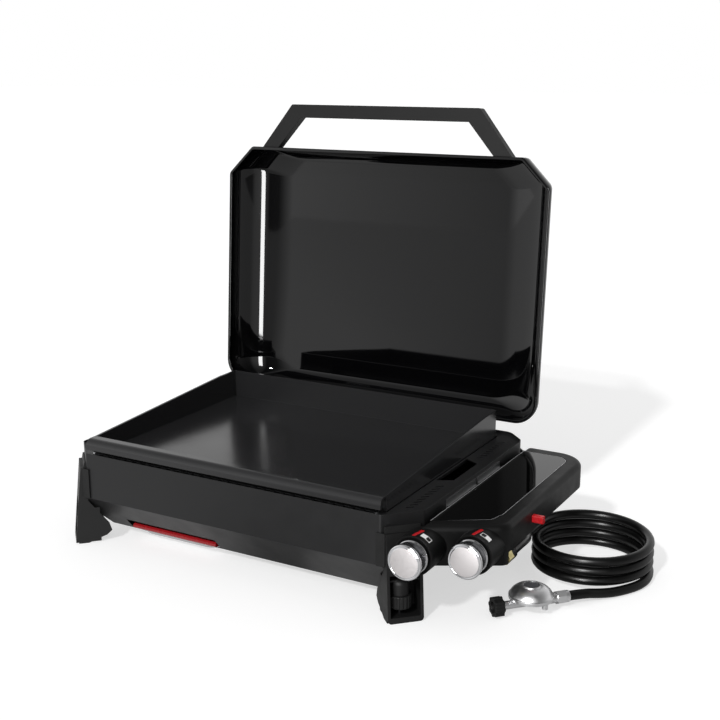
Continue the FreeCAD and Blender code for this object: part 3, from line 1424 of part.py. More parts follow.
hose_radius = number(size.hose_diameter) / 2.0
coil_centre = Vector(number(size.coil_x), number(size.coil_y), 0)
coil_radius = number(size.coil_radius)
coil_turn = number(size.coil_turn)
coil_end_z = hose_radius + number(size.coil_floor)
coil_start_z = coil_end_z + number(size.coil_pitch) * coil_turn / 360.0
climb = number(size.coil_pitch) / (2.0 * math.pi * coil_radius)


def coil_point(turned):
    """Point of the coil after turning clockwise, seen from above, by an angle in degrees."""
    angle = math.radians(number(size.coil_start) - turned)
    height = coil_start_z - number(size.coil_pitch) * turned / 360.0
    return coil_centre + Vector(math.cos(angle) * coil_radius, math.sin(angle) * coil_radius, height)


def coil_heading(turned):
    angle = math.radians(number(size.coil_start) - turned)
    return Vector(math.sin(angle), -math.cos(angle), -climb).normalize()


def biarc(start, start_way, end, end_way):
    """Two tangent arcs between two points with given headings."""
    chord = end - start
    both = start_way + end_way
    a = 2.0 * (1.0 - start_way.dot(end_way))
    b = 2.0 * chord.dot(both)
    c = -chord.dot(chord)
    reach = (-b + math.sqrt(b * b - 4.0 * a * c)) / (2.0 * a)
    joint = (start + start_way * reach + end - end_way * reach) * 0.5
    arcs = []
    for first, last, way in ((start, joint, start_way), (joint, end, None)):
        corner = first + way * reach if way else end - end_way * reach
        into, out = (corner - first).normalize(), (last - corner).normalize()
        turn = into.getAngle(out)
        radius = reach / math.tan(turn / 2.0)
        inward = (out - into).normalize()
        centre = corner + inward * (radius / math.cos(turn / 2.0))
        arcs.append(Part.Arc(first, centre - inward * radius, last).toShape())
    return arcs


lead = number(size.hose_diameter)
coil_edges = [Part.LineSegment(coil_point(0.0) - coil_heading(0.0) * lead, coil_point(0.0)).toShape()]
steps = int(math.ceil(coil_turn / 90.0))
for k in range(steps):
    low, high = coil_turn * k / steps, coil_turn * (k + 1) / steps
    coil_edges += biarc(coil_point(low), coil_heading(low), coil_point(high), coil_heading(high))
coil_end = coil_point(coil_turn) + coil_heading(coil_turn) * 5.0
coil_edges.append(Part.LineSegment(coil_point(coil_turn), coil_end).toShape())
coil_wire = Part.Wire(coil_edges)
keep(made("hose_coil", swept_tube(coil_wire, hose_radius)))
cord_parts.append("hose_coil")

# Least gap between neighbouring turns, measured on points along the coil
samples = [coil_point(coil_turn * k / 720.0) for k in range(721)]
skip = int(720.0 * 270.0 / coil_turn)
nearest = min((samples[i] - samples[j]).Length for i in range(0, 721, 3) for j in range(i + skip, 721))
print("coil gap %.2f mm, coil length %.0f mm" % (nearest - 2.0 * hose_radius, coil_wire.Length))


def hose_route(label, points):
    """A hose along hand-chosen points, its arcs as large as the runs beside them allow."""
    edges = []
    radii = []
    start = points[0]
    for before, corner, after in zip(points, points[1:], points[2:]):
        into, out = (corner - before).normalize(), (after - corner).normalize()
        shorter = min((corner - before).Length, (after - corner).Length)
        turn = into.getAngle(out)
        trim = 0.45 * shorter
        radius = trim / math.tan(turn / 2.0)
        radii.append(radius)
        inward = (out - into).normalize()
        centre = corner + inward * (radius / math.cos(turn / 2.0))
        first, last = corner - into * trim, corner + out * trim
        edges.append(Part.LineSegment(start, first).toShape())
        edges.append(Part.Arc(first, centre - inward * radius, last).toShape())
        start = last
    edges.append(Part.LineSegment(start, points[-1]).toShape())
    wire = Part.Wire(edges)
    solid = swept_tube(wire, hose_radius)
    section = math.pi * hose_radius ** 2
    print("%s radii %s, length %.1f mm, volume over section times length %.4f" % (
        label, [round(r) for r in radii], wire.Length, solid.Volume / section / wire.Length))
    keep(made(label, solid))
    cord_parts.append(label)


inlet_x, inlet_z = number(size.inlet_x), number(size.inlet_z)
inlet_y = number(inlet_end)
coil_begin = coil_point(0.0) - coil_heading(0.0) * lead
hose_route("hose_riser", [
    Vector(inlet_x, inlet_y, inlet_z), Vector(inlet_x, inlet_y + 32.0, inlet_z),
    Vector(inlet_x - 3.0, inlet_y + 65.5, inlet_z - 4.5), Vector(inlet_x - 12.0, inlet_y + 95.5, inlet_z - 14.0),
    Vector(inlet_x - 24.0, inlet_y + 123.5, inlet_z - 24.0), coil_begin - coil_heading(0.0) * 38.0, coil_begin])

# Regulator: a die-cast dome with a spigot and hand wheel on one side and a hose nut on the other.
# It is drawn along X from the hand wheel, then turned to its place.

regulator_turn = Rotation(Vector(0, 0, 1), number(size.regulator_angle))
regulator_spot = Vector(number(size.regulator_x), number(size.regulator_y), 0)


def at_regulator(piece):
    """Moves a piece drawn at the regulator's own axis to its place beside the station."""
    local = piece.Placement
    piece.Placement = FreeCAD.Placement(regulator_spot, regulator_turn).multiply(local)
    return piece


reg_z = number(size.regulator_z)
centre_x = number(size.regulator_centre)
flange = number(size.regulator_radius)
profile = [(0, 14), (13, 14), (15, 22), (flange, 24.5), (flange, 29.5), (flange - 1.5, 31)]
dome_start, dome_middle, dome_end = (flange - 1.5, 31), (26.5, 39.5), (14.5, 43.5)
ring_profile = [dome_end, (14, 45.5), (12.2, 45.5), (12.2, 43), (0, 43), (0, 14)]


def profile_line(points):
    spots = [Vector(radius, 0, height) for radius, height in points]
    return [Part.LineSegment(a, b).toShape() for a, b in zip(spots, spots[1:])]


dome_arc = Part.Arc(*[Vector(radius, 0, height) for radius, height in (dome_start, dome_middle, dome_end)])
dome_wire = Part.Wire(profile_line(profile) + [dome_arc.toShape()] + profile_line(ring_profile))
dome = Part.Face(dome_wire).revolve(Vector(0, 0, 0), Vector(0, 0, 1), 360)
dome.translate(Vector(centre_x, 0, 0))
wheel_half = number(size.handwheel_length) / 2.0
spigot = Part.makeCylinder(6.5, centre_x - wheel_half - 1.0, Vector(wheel_half + 1.0, 0, reg_z), Vector(1, 0, 0))
spigot_tip = Part.makeCylinder(4.0, wheel_half + 3.0, Vector(-2.0, 0, reg_z), Vector(1, 0, 0))
outlet = Part.makeCylinder(8.0, number(size.regulator_nut_start) - centre_x, Vector(centre_x, 0, reg_z),
                           Vector(1, 0, 0))
vent_stub = Part.makeCylinder(4.5, 12.0, Vector(centre_x + 12.0, -24.0, 14.0))
regulator_body = made("regulator_body", dome.multiFuse([spigot, spigot_tip, outlet, vent_stub]).removeSplitter())
keep(at_regulator(regulator_body))
cap_shape = Part.makeCylinder(12.0, 1.8, Vector(centre_x, 0, 43.0))
keep(at_regulator(made("regulator_cap", cap_shape)))
nut_start = number(size.regulator_nut_start)
nut_end = nut_start + number(size.regulator_nut_length)
nut_face_points = []
for a in range(0, 361, 60):
    reach = number(size.regulator_nut_flats) / math.sqrt(3.0)
    nut_face_points.append(Vector(nut_start, reach * math.cos(math.radians(a + 30)),
                                  reg_z + reach * math.sin(math.radians(a + 30))))
nut_solid = Part.Face(Part.makePolygon(nut_face_points)).extrude(Vector(nut_end - nut_start, 0, 0))
nut_collar = Part.makeCylinder(number(size.ferrule_radius), 6.0, Vector(nut_end, 0, reg_z), Vector(1, 0, 0))
keep(at_regulator(made("regulator_nut", nut_solid.fuse(nut_collar).removeSplitter())))
wheel_disc = Part.makeCylinder(number(size.handwheel_radius) - 2.0, wheel_half * 2.0,
                               Vector(-wheel_half, 0, reg_z), Vector(1, 0, 0))
lobes = []
for k in range(int(number(size.handwheel_lobes))):
    angle = 2.0 * math.pi * k / number(size.handwheel_lobes)
    spot = Vector(-wheel_half, math.cos(angle), math.sin(angle))
    reach = number(size.handwheel_radius) - 3.6
    lobes.append(Part.makeCylinder(3.6, wheel_half * 2.0, Vector(-wheel_half, reach * math.cos(angle),
                                                                 reg_z + reach * math.sin(angle)), Vector(1, 0, 0)))
wheel_bore = Part.makeCylinder(4.06, wheel_half * 2.0 + 2.0, Vector(-wheel_half - 1.0, 0, reg_z), Vector(1, 0, 0))
wheel_mouth = Part.makeCylinder(9.0, wheel_half - 1.0, Vector(-wheel_half - 1.0, 0, reg_z), Vector(1, 0, 0))
handwheel = wheel_disc.multiFuse(lobes).removeSplitter().cut(wheel_bore).cut(wheel_mouth)
keep(at_regulator(made("regulator_handwheel", handwheel)))
cord_parts += ["regulator_body", "regulator_cap", "regulator_nut", "regulator_handwheel"]


def regulator_point(along, height):
    way = Vector(math.cos(math.radians(number(size.regulator_angle))),
                 math.sin(math.radians(number(size.regulator_angle))), 0)
    return regulator_spot + way * along + Vector(0, 0, height)


tail_start = regulator_point(nut_end + 6.0, reg_z)
coil_way = coil_heading(coil_turn)
hose_route("hose_tail", [
    tail_start, regulator_point(nut_end + 36.0, reg_z), coil_end + Vector(-42.7, -133.5, 2.0),
    coil_end + Vector(-24.7, -111.0, -1.4), coil_end + Vector(-6.2, -82.5, -1.9),
    coil_end + Vector(4.0, -60.5, -1.8), coil_end + Vector(7.8, -37.0, -1.3), coil_end + coil_way * 14.0,
    coil_end])

doc.recompute()

# Checks of every object and every sub-part before anything is written
for item in doc.Objects:
    if "Invalid" in item.State or "Error" in item.State:
        raise RuntimeError("%s (%s) failed: %s" % (item.Name, item.Label, item.State))
for label, piece in parts.items():
    if piece.Shape.isNull() or not piece.Shape.isValid() or not piece.Shape.Solids:
        raise RuntimeError("%s has no valid solid" % label)

# Lid pieces swing to their open rest pose about the hinge, and everything then moves to the datum

hinge = Vector(0, number(size.hinge_y), number(size.hinge_z))
placed = {}
for label, piece in parts.items():
    shape = piece.Shape.copy()
    if label in lid_parts:
        shape.rotate(hinge, Vector(1, 0, 0), -number(size.lid_open_angle))
    placed[label] = shape

extent = FreeCAD.BoundBox()
for label, shape in placed.items():
    if label not in cord_parts:
        extent.add(shape.BoundBox)
datum = Vector(-(extent.XMin + extent.XMax) / 2.0, -(extent.YMin + extent.YMax) / 2.0, 0.0)
print("datum %.3f %.3f, extent %s" % (datum.x, datum.y, extent))

os.makedirs("parts", exist_ok=True)
for label, shape in placed.items():
    shape.translate(datum)
    shape.exportStep(os.path.join("parts", label + ".step"))
print("%d nodes" % len(placed))
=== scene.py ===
import math

import bmesh
import bpy
from mathutils import Matrix, Vector, noise


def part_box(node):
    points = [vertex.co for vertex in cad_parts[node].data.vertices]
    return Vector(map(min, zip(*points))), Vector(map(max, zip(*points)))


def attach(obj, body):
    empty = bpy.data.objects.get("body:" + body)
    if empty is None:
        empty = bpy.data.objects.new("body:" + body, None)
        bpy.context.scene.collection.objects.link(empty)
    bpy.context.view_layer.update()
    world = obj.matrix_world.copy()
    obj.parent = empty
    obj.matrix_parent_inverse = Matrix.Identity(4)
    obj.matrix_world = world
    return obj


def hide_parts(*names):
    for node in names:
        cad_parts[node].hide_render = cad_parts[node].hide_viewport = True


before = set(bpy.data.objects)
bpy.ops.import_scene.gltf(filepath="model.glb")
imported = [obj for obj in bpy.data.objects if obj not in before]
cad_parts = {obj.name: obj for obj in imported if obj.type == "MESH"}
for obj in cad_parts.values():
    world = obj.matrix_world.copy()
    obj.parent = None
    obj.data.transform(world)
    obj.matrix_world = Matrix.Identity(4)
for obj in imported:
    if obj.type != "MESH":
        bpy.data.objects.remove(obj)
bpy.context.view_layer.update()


# Cookbox and its slotted ledge: folded sheet steel, spot welded at the corners, with a black
# powder coat baked on. The legs, the hinges and every rail inside are fixed to it.

def linear(code):
    """The linear colour of an sRGB hex value."""
    parts = [int(code[place:place + 2], 16) / 255 for place in (1, 3, 5)]
    return [*(part / 12.92 if part <= 0.04045 else ((part + 0.055) / 1.055) ** 2.4 for part in parts), 1.0]


def add(finish, kind, inputs, **settings):
    """Adds a node to a finish: its settings by name, and its inputs by name or number, each a value or
    an output."""
    made = finish.node_tree.nodes.new(kind)
    for name, value in settings.items():
        setattr(made, name, value)
    for name, value in inputs.items():
        if isinstance(value, bpy.types.NodeSocket):
            finish.node_tree.links.new(value, made.inputs[name])
        else:
            made.inputs[name].default_value = value
    return made


def start_finish(name):
    """An empty finish, and the place that its patterns start from, in metres of the real object."""
    finish = bpy.data.materials.new(name)
    finish.use_nodes = True
    finish.node_tree.nodes.clear()
    place = add(finish, "ShaderNodeTexCoord", {}).outputs["Object"]
    return finish, place


def end_finish(finish, shader):
    """Closes a finish with its shader."""
    add(finish, "ShaderNodeOutputMaterial", {"Surface": shader.outputs[0]})
    return finish


def dress(finish, *names):
    """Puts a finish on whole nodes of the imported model."""
    for name in names:
        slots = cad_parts[name].data.materials
        slots.clear()
        slots.append(finish)


def grain(finish, place, size_mm, depth_mm, under=None, detail=2.0):
    """A fine uneven surface: grains of a real size and depth, laid over another relief if one is given."""
    noise = add(finish, "ShaderNodeTexNoise", {"Vector": place, "Scale": 1000 / size_mm, "Detail": detail})
    inputs = {"Height": noise.outputs["Fac"], "Distance": depth_mm / 1000, "Strength": 1.0}
    if under:
        inputs["Normal"] = under
    return add(finish, "ShaderNodeBump", inputs).outputs["Normal"]


def spread(finish, place, size_mm, low, high, detail=3.0):
    """A number that drifts between two values over patches of a real size. Noise keeps mostly to the
    middle of its range, so only that middle is stretched."""
    noise = add(finish, "ShaderNodeTexNoise", {"Vector": place, "Scale": 1000 / size_mm, "Detail": detail})
    return add(finish, "ShaderNodeMapRange", {
        "Value": noise.outputs["Fac"], "From Min": 0.3, "From Max": 0.7,
        "To Min": low, "To Max": high}).outputs["Result"]


# Powder coat is a baked polyester film: satin, with the faint orange peel of melted grains and
# edges that catch a thin line of light. The peel is 1.2 mm on the real coat and 2 mm here, to show.
powder_coat, place = start_finish("powder_coat")
soft_edge = add(powder_coat, "ShaderNodeBevel", {"Radius": 0.0009}, samples=4).outputs["Normal"]
end_finish(powder_coat, add(powder_coat, "ShaderNodeBsdfPrincipled", {
    "Base Color": linear("#171718"), "IOR": 1.5, "Specular IOR Level": 0.38,
    "Roughness": spread(powder_coat, place, 40, 0.40, 0.48),
    "Normal": grain(powder_coat, place, 2.0, 0.02, soft_edge)}))
dress(powder_coat, "firebox_shell", "ledge_frame", "hinge_brackets", "hinge_arms", "plate_supports")


# Griddle plate: thick pressed carbon steel with welded walls and a folded front lip, under a
# smooth black high-heat coating. New, it is near black, and slick enough to mirror at a low angle.

high_heat_coat, place = start_finish("high_heat_coat")
soft_edge = add(high_heat_coat, "ShaderNodeBevel", {"Radius": 0.0008}, samples=4).outputs["Normal"]
end_finish(high_heat_coat, add(high_heat_coat, "ShaderNodeBsdfPrincipled", {
    "Base Color": linear("#252526"), "IOR": 1.5,
    "Roughness": spread(high_heat_coat, place, 60, 0.17, 0.21),
    "Normal": grain(high_heat_coat, place, 30.0, 0.01, soft_edge)}))
dress(high_heat_coat, "griddle_plate")


# Burners, their cradles, the grease chute, the tray's rails and the console's brackets: bent and
# pressed stainless steel. The burner tubes have the straw tint that heat leaves round their ports.

burner_steel, place = start_finish("burner_steel")
tint = add(burner_steel, "ShaderNodeMix", {
    "Factor": spread(burner_steel, place, 35, 0.0, 0.7), "A": linear("#8d8c8a"), "B": linear("#8b7a62")},
    data_type="RGBA")
end_finish(burner_steel, add(burner_steel, "ShaderNodeBsdfPrincipled", {
    "Base Color": tint.outputs["Result"], "Metallic": 1.0,
    "Roughness": spread(burner_steel, place, 12, 0.28, 0.42),
    "Normal": grain(burner_steel, place, 1.5, 0.01)}))
dress(burner_steel, "burner_left", "burner_right")

pressed_steel, place = start_finish("pressed_steel")
drawn = add(pressed_steel, "ShaderNodeMapping", {"Vector": place, "Scale": (0.02, 1.0, 1.0)})
end_finish(pressed_steel, add(pressed_steel, "ShaderNodeBsdfPrincipled", {
    "Base Color": linear("#9b9b9c"), "Metallic": 1.0,
    "Roughness": spread(pressed_steel, drawn.outputs["Vector"], 2, 0.26, 0.40),
    "Normal": grain(pressed_steel, drawn.outputs["Vector"], 0.8, 0.008)}))
dress(pressed_steel, "burner_cradles", "grease_chute", "tray_rails", "console_brackets")

# The electrodes are pins of glazed alumina, white with a wet shine.
alumina, place = start_finish("glazed_alumina")
end_finish(alumina, add(alumina, "ShaderNodeBsdfPrincipled", {
    "Base Color": linear("#e4e0d6"), "IOR": 1.6, "Roughness": spread(alumina, place, 4, 0.12, 0.22),
    "Normal": grain(alumina, place, 1.0, 0.005)}))
dress(alumina, "electrodes")

# Gas pipes are drawn aluminium tube: pale, soft and satin, with long drawing marks.
drawn_aluminium, place = start_finish("drawn_aluminium")
end_finish(drawn_aluminium, add(drawn_aluminium, "ShaderNodeBsdfPrincipled", {
    "Base Color": linear("#c9cacc"), "Metallic": 1.0,
    "Roughness": spread(drawn_aluminium, place, 6, 0.24, 0.36),
    "Normal": grain(drawn_aluminium, place, 1.2, 0.006)}))
dress(drawn_aluminium, "gas_pipes", "gas_manifold")

# Jets, gas cocks and the inlet nut are turned brass, yellow and bright on the cut faces with the
# dull brown film that handling leaves in patches.
turned_brass, place = start_finish("turned_brass")
soft_edge = add(turned_brass, "ShaderNodeBevel", {"Radius": 0.0005}, samples=4).outputs["Normal"]
film = add(turned_brass, "ShaderNodeMix", {
    "Factor": spread(turned_brass, place, 9, 0.0, 0.8), "A": linear("#d8cb96"), "B": linear("#a89a64")},
    data_type="RGBA")
end_finish(turned_brass, add(turned_brass, "ShaderNodeBsdfPrincipled", {
    "Base Color": film.outputs["Result"], "Metallic": 1.0,
    "Roughness": spread(turned_brass, place, 5, 0.16, 0.30),
    "Normal": grain(turned_brass, place, 1.0, 0.008, soft_edge)}))
dress(turned_brass, "brass_jets", "valve_body_left", "valve_body_right", "valve_plug_left",
      "valve_plug_right", "inlet_nut")


# Grease tray: a pressed stainless pan with a flat rim, hung in two rails, with a red moulded pull
# along its front edge and a loose crinkled foil liner inside.

tray_steel, place = start_finish("tray_steel")
brushed = add(tray_steel, "ShaderNodeMapping", {"Vector": place, "Scale": (0.03, 1.0, 1.0)})
end_finish(tray_steel, add(tray_steel, "ShaderNodeBsdfPrincipled", {
    "Base Color": linear("#c4c4c5"), "Metallic": 1.0,
    "Roughness": spread(tray_steel, brushed.outputs["Vector"], 1.5, 0.22, 0.36),
    "Normal": grain(tray_steel, brushed.outputs["Vector"], 0.6, 0.006)}))
dress(tray_steel, "grease_tray")


def moulded_red(name, colour, edge):
    """Gloss ABS, dyed through, with a bright highlight along its rounded edges."""
    finish, place = start_finish(name)
    soft_edge = add(finish, "ShaderNodeBevel", {"Radius": edge}, samples=4).outputs["Normal"]
    return end_finish(finish, add(finish, "ShaderNodeBsdfPrincipled", {
        "Base Color": linear(colour), "IOR": 1.5, "Roughness": spread(finish, place, 8, 0.22, 0.3),
        "Normal": grain(finish, place, 2.0, 0.006, soft_edge)}))


# The igniter's button and the pips on the pods are a clear red, and the tray's pull a deeper one.
red_abs = moulded_red("red_abs", "#c41a22", 0.001)
deep_red_abs = moulded_red("deep_red_abs", "#9d161c", 0.0015)
dress(deep_red_abs, "tray_pull")
dress(red_abs, "igniter_button")

liner_foil, place = start_finish("liner_foil")
end_finish(liner_foil, add(liner_foil, "ShaderNodeBsdfPrincipled", {
    "Base Color": linear("#d9dadc"), "Metallic": 1.0, "Roughness": spread(liner_foil, place, 5, 0.18, 0.32),
    "Normal": grain(liner_foil, place, 7.0, 0.6, detail=4.0)}))


def stand(name, data):
    """Stands a mesh, a curve, a lamp or a camera in the scene."""
    piece = bpy.data.objects.new(name, data)
    bpy.context.scene.collection.objects.link(piece)
    return piece


# The liner is a sheet pressed into the pan by hand: creased on its floor and turned up at its walls.
low, high = (Vector(corner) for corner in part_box("foil_liner"))
across, along = 74, 96
wall_mm, wall_bend = 4.0, 1.6
creases_per_metre, crease_height = 90, 0.0011
below_rim, above_pan = 0.0012, 0.0003
crumple = bmesh.new()
grid = []
for row in range(along + 1):
    for column in range(across + 1):
        x = low.x + (high.x - low.x) * column / across
        y = low.y + (high.y - low.y) * row / along
        edge = min(x - low.x, high.x - x, y - low.y, high.y - y) * 1000
        wall = max(0.0, 1 - edge / wall_mm) ** wall_bend
        crease = noise.ridged_multi_fractal(Vector((x, y, 0.0)) * creases_per_metre, 0.9, 2.1, 3, 1.0, 2.0)
        fold = crease_height * max(0.0, min(1.0, crease - 0.9)) * (1 - wall)
        lift = (high.z - low.z - below_rim) * wall + fold
        grid.append(crumple.verts.new((x, y, low.z + above_pan + lift)))
for row in range(along):
    for column in range(across):
        here = row * (across + 1) + column
        behind = here + across + 1
        crumple.faces.new((grid[here], grid[here + 1], grid[behind + 1], grid[behind])).smooth = True
foil_mesh = bpy.data.meshes.new("crumpled_liner")
crumple.to_mesh(foil_mesh)
crumple.free()
foil_mesh.materials.append(liner_foil)
foil = stand("crumpled_liner", foil_mesh)
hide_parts("foil_liner")
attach(foil, "tray")


# Corner legs, lid handle, levelling wheels, hand wheel and the igniter's case: glass-filled nylon,
# moulded black and left as it comes from the tool, with a fine matt grain and rounded edges.

moulded_nylon, place = start_finish("moulded_nylon")
soft_edge = add(moulded_nylon, "ShaderNodeBevel", {"Radius": 0.0012}, samples=4).outputs["Normal"]
end_finish(moulded_nylon, add(moulded_nylon, "ShaderNodeBsdfPrincipled", {
    "Base Color": linear("#171717"), "IOR": 1.5, "Specular IOR Level": 0.28,
    "Roughness": spread(moulded_nylon, place, 25, 0.46, 0.56),
    "Normal": grain(moulded_nylon, place, 1.8, 0.035, soft_edge)}))
dress(moulded_nylon, "leg_front_left", "leg_front_right", "leg_rear_left", "leg_rear_right", "lid_handle",
      "levelling_wheel_front_left", "levelling_wheel_front_right", "regulator_handwheel", "igniter_module")

# Screws, bolts and the valves' stems are zinc plated steel, cool, pale and a little cloudy.
plated_steel, place = start_finish("plated_steel")
end_finish(plated_steel, add(plated_steel, "ShaderNodeBsdfPrincipled", {
    "Base Color": linear("#d2d3d6"), "Metallic": 1.0,
    "Roughness": spread(plated_steel, place, 3, 0.14, 0.26),
    "Normal": grain(plated_steel, place, 1.0, 0.006)}))
dress(plated_steel, "leg_bolts", "panel_screws", "lid_screws", "valve_stem_left", "valve_stem_right")

# The levelling feet are threaded steel, blackened against rust, with an oily shine.
blackened_steel, place = start_finish("blackened_steel")
end_finish(blackened_steel, add(blackened_steel, "ShaderNodeBsdfPrincipled", {
    "Base Color": linear("#2b2b2d"), "Metallic": 1.0,
    "Roughness": spread(blackened_steel, place, 4, 0.34, 0.44),
    "Normal": grain(blackened_steel, place, 1.0, 0.01)}))
dress(blackened_steel, "levelling_foot_front_left", "levelling_foot_front_right")


# Lid: one deep-drawn steel pressing with a rolled rim, dipped in black vitreous enamel and fired,
# so it is wet-black and mirrors the room, with only a slow ripple in the glass. Its sides roll slowly
# over into a flat crown, and its ends lean in and turn tightly. It is drawn closed, then swung open.

# Pieces drawn here are measured in mm, as the part is, from the middle of the cookbox's flat front
# panel, on the ground. This is the step in metres from there to the middle of the station.
frame_move = Vector((-0.061923, -0.278629, 0.0))

lid_half, lid_front, lid_rear = 344.0, -3.0, 479.0
rim_level, lid_depth, lid_sheet = 169.0, 75.0, 1.5
crown_side, end_draft, end_round = 104.0, 20.0, 6.0
front_cut, rear_curl, cut_round = 54.0, 44.0, 12.0
hinge, opened = Vector((0.0, 490.65, 168.04)), 93.84


def lid_outline(rise, inset):
    """Plan of the closed lid in mm where it has risen by a share of its depth, drawn in by an inset."""
    side = lid_half - crown_side * (1 - (1 - rise ** 2) ** 0.5) - inset
    draw = end_draft * rise ** 4 + end_round * (1 - (1 - rise ** 6) ** (1 / 6)) + inset
    front, back = lid_front + draw, lid_rear - draw
    nip = front_cut * (1 - 0.36 * rise) - 0.586 * inset
    curl = rear_curl * (1 - 0.3 * rise ** 4) - inset
    soft = cut_round - 0.5 * inset
    run = soft * math.tan(math.pi / 8)
    right = []
    for centre, first, last, radius in (
            ((side - nip - run, front + soft), -90, -45, soft),
            ((side - soft, front + nip + run), -45, 0, soft),
            ((side - curl, back - curl), 0, 90, curl)):
        steps = 6 if last - first == 45 else 14
        right += [(centre[0] + radius * math.cos(math.radians(first + (last - first) * step / steps)),
                   centre[1] + radius * math.sin(math.radians(first + (last - first) * step / steps)))
                  for step in range(steps + 1)]
    outline = right + [(-x, y) for x, y in reversed(right)]
    return [spot for here, after in zip(outline, outline[1:] + outline[:1]) for spot in
            ([here] if math.dist(here, after) < 12 else
             [here] + [(here[0] + (after[0] - here[0]) * part, here[1] + (after[1] - here[1]) * part)
                       for part in (0.04, 0.5, 0.96)])]


def risen(step):
    """The share of the lid's depth that a ring has risen to: the rings are closer at the crown."""
    return math.sin(math.pi * step / (2 * crown_ring)) ** (2 / 3)


# Rings of (rise, inset, level): down the inside, round the rolled rim and up the outside.
crown_ring, rim_ring = 40, 2
rings = [(risen(step), lid_sheet,
          rim_level + lid_depth - lid_depth * (1 - risen(step)) - lid_sheet * risen(step) ** 2)
         for step in range(crown_ring, rim_ring, -1)]
rings += [(0.06, 1.5, 173.6), (0.05, 3.0, 172.9), (0.04, 5.2, 172.4), (0.03, 6.0, 171.6),
          (0.02, 6.0, 170.2), (0.01, 5.4, 169.4), (0.0, 4.6, 169.0), (0.0, 1.6, 169.0),
          (0.0, 0.5, 169.4), (0.0, 0.0, 170.3)]
rings += [(risen(step), 0.0, rim_level + lid_depth * risen(step))
          for step in range(rim_ring, crown_ring + 1)]
shell = bmesh.new()
loops = []
for rise, inset, level in rings:
    loops.append([shell.verts.new((x, y, level)) for x, y in lid_outline(rise, inset)])
for low, high in zip(loops, loops[1:]):
    for place in range(len(low)):
        after = (place + 1) % len(low)
        shell.faces.new((low[place], low[after], high[after], high[place])).smooth = True
lid_middle = (lid_front + lid_rear) / 2
for loop, turn in ((loops[0], 1), (loops[-1], -1)):
    flat = [shell.verts.new((vert.co.x * 0.99, lid_middle + (vert.co.y - lid_middle) * 0.985, vert.co.z))
            for vert in loop]
    for place in range(len(loop)):
        after = (place + 1) % len(loop)
        shell.faces.new([loop[place], loop[after], flat[after], flat[place]][::turn]).smooth = True
    shell.faces.new(flat[::turn]).smooth = True
bmesh.ops.recalc_face_normals(shell, faces=shell.faces)
shell.transform(Matrix.Translation(frame_move) @ Matrix.Scale(0.001, 4) @ Matrix.Translation(hinge)
                @ Matrix.Rotation(math.radians(-opened), 4, "X") @ Matrix.Translation(-hinge))
lid_mesh = bpy.data.meshes.new("lid_pressing")
shell.to_mesh(lid_mesh)
shell.free()
lid = stand("lid_pressing", lid_mesh)
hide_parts("lid_shell")
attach(lid, "lid")

enamel, place = start_finish("vitreous_enamel")
end_finish(enamel, add(enamel, "ShaderNodeBsdfPrincipled", {
    "Base Color": linear("#060607"), "IOR": 1.52, "Roughness": 0.035,
    "Normal": grain(enamel, place, 45, 0.02, detail=1.0)}))
lid_mesh.materials.append(enamel)


# Side console: a moulded ABS housing with two round pods for the knobs, a base plate under it and
# a black glass top let in flush. The moulding has a fine spark-eroded texture and soft edges.

console_abs, place = start_finish("console_abs")
soft_edge = add(console_abs, "ShaderNodeBevel", {"Radius": 0.0015}, samples=4).outputs["Normal"]
end_finish(console_abs, add(console_abs, "ShaderNodeBsdfPrincipled", {
    "Base Color": linear("#121212"), "IOR": 1.5, "Specular IOR Level": 0.14,
    "Roughness": spread(console_abs, place, 25, 0.38, 0.46),
    "Normal": grain(console_abs, place, 1.8, 0.02, soft_edge)}))
dress(console_abs, "console_housing", "console_base")

# The glass is 3 mm float glass, printed black from below: a deep mirror with rounded edges.
black_glass, place = start_finish("black_glass")
soft_edge = add(black_glass, "ShaderNodeBevel", {"Radius": 0.0006}, samples=4).outputs["Normal"]
end_finish(black_glass, add(black_glass, "ShaderNodeBsdfPrincipled", {
    "Base Color": linear("#050505"), "IOR": 1.52, "Roughness": 0.02,
    "Normal": grain(black_glass, place, 60, 0.004, soft_edge)}))
dress(black_glass, "glass_panel")


def glass_loop(grow):
    """Outline of the glass in mm, let out by an amount: a raked front and a round rear corner."""
    turn = 26.0 + grow
    arc = [math.radians(90 * step / 12) for step in range(13)]
    return [(349.8 - grow, 47.0 - grow), (428.7 + 0.6 * grow, 96.0 - 1.1 * grow), (436.0 + grow, 125.0)] + [
        (410.0 + turn * math.cos(angle), 398.0 + turn * math.sin(angle)) for angle in arc] + [
        (349.8 - grow, 424.0 + grow)]
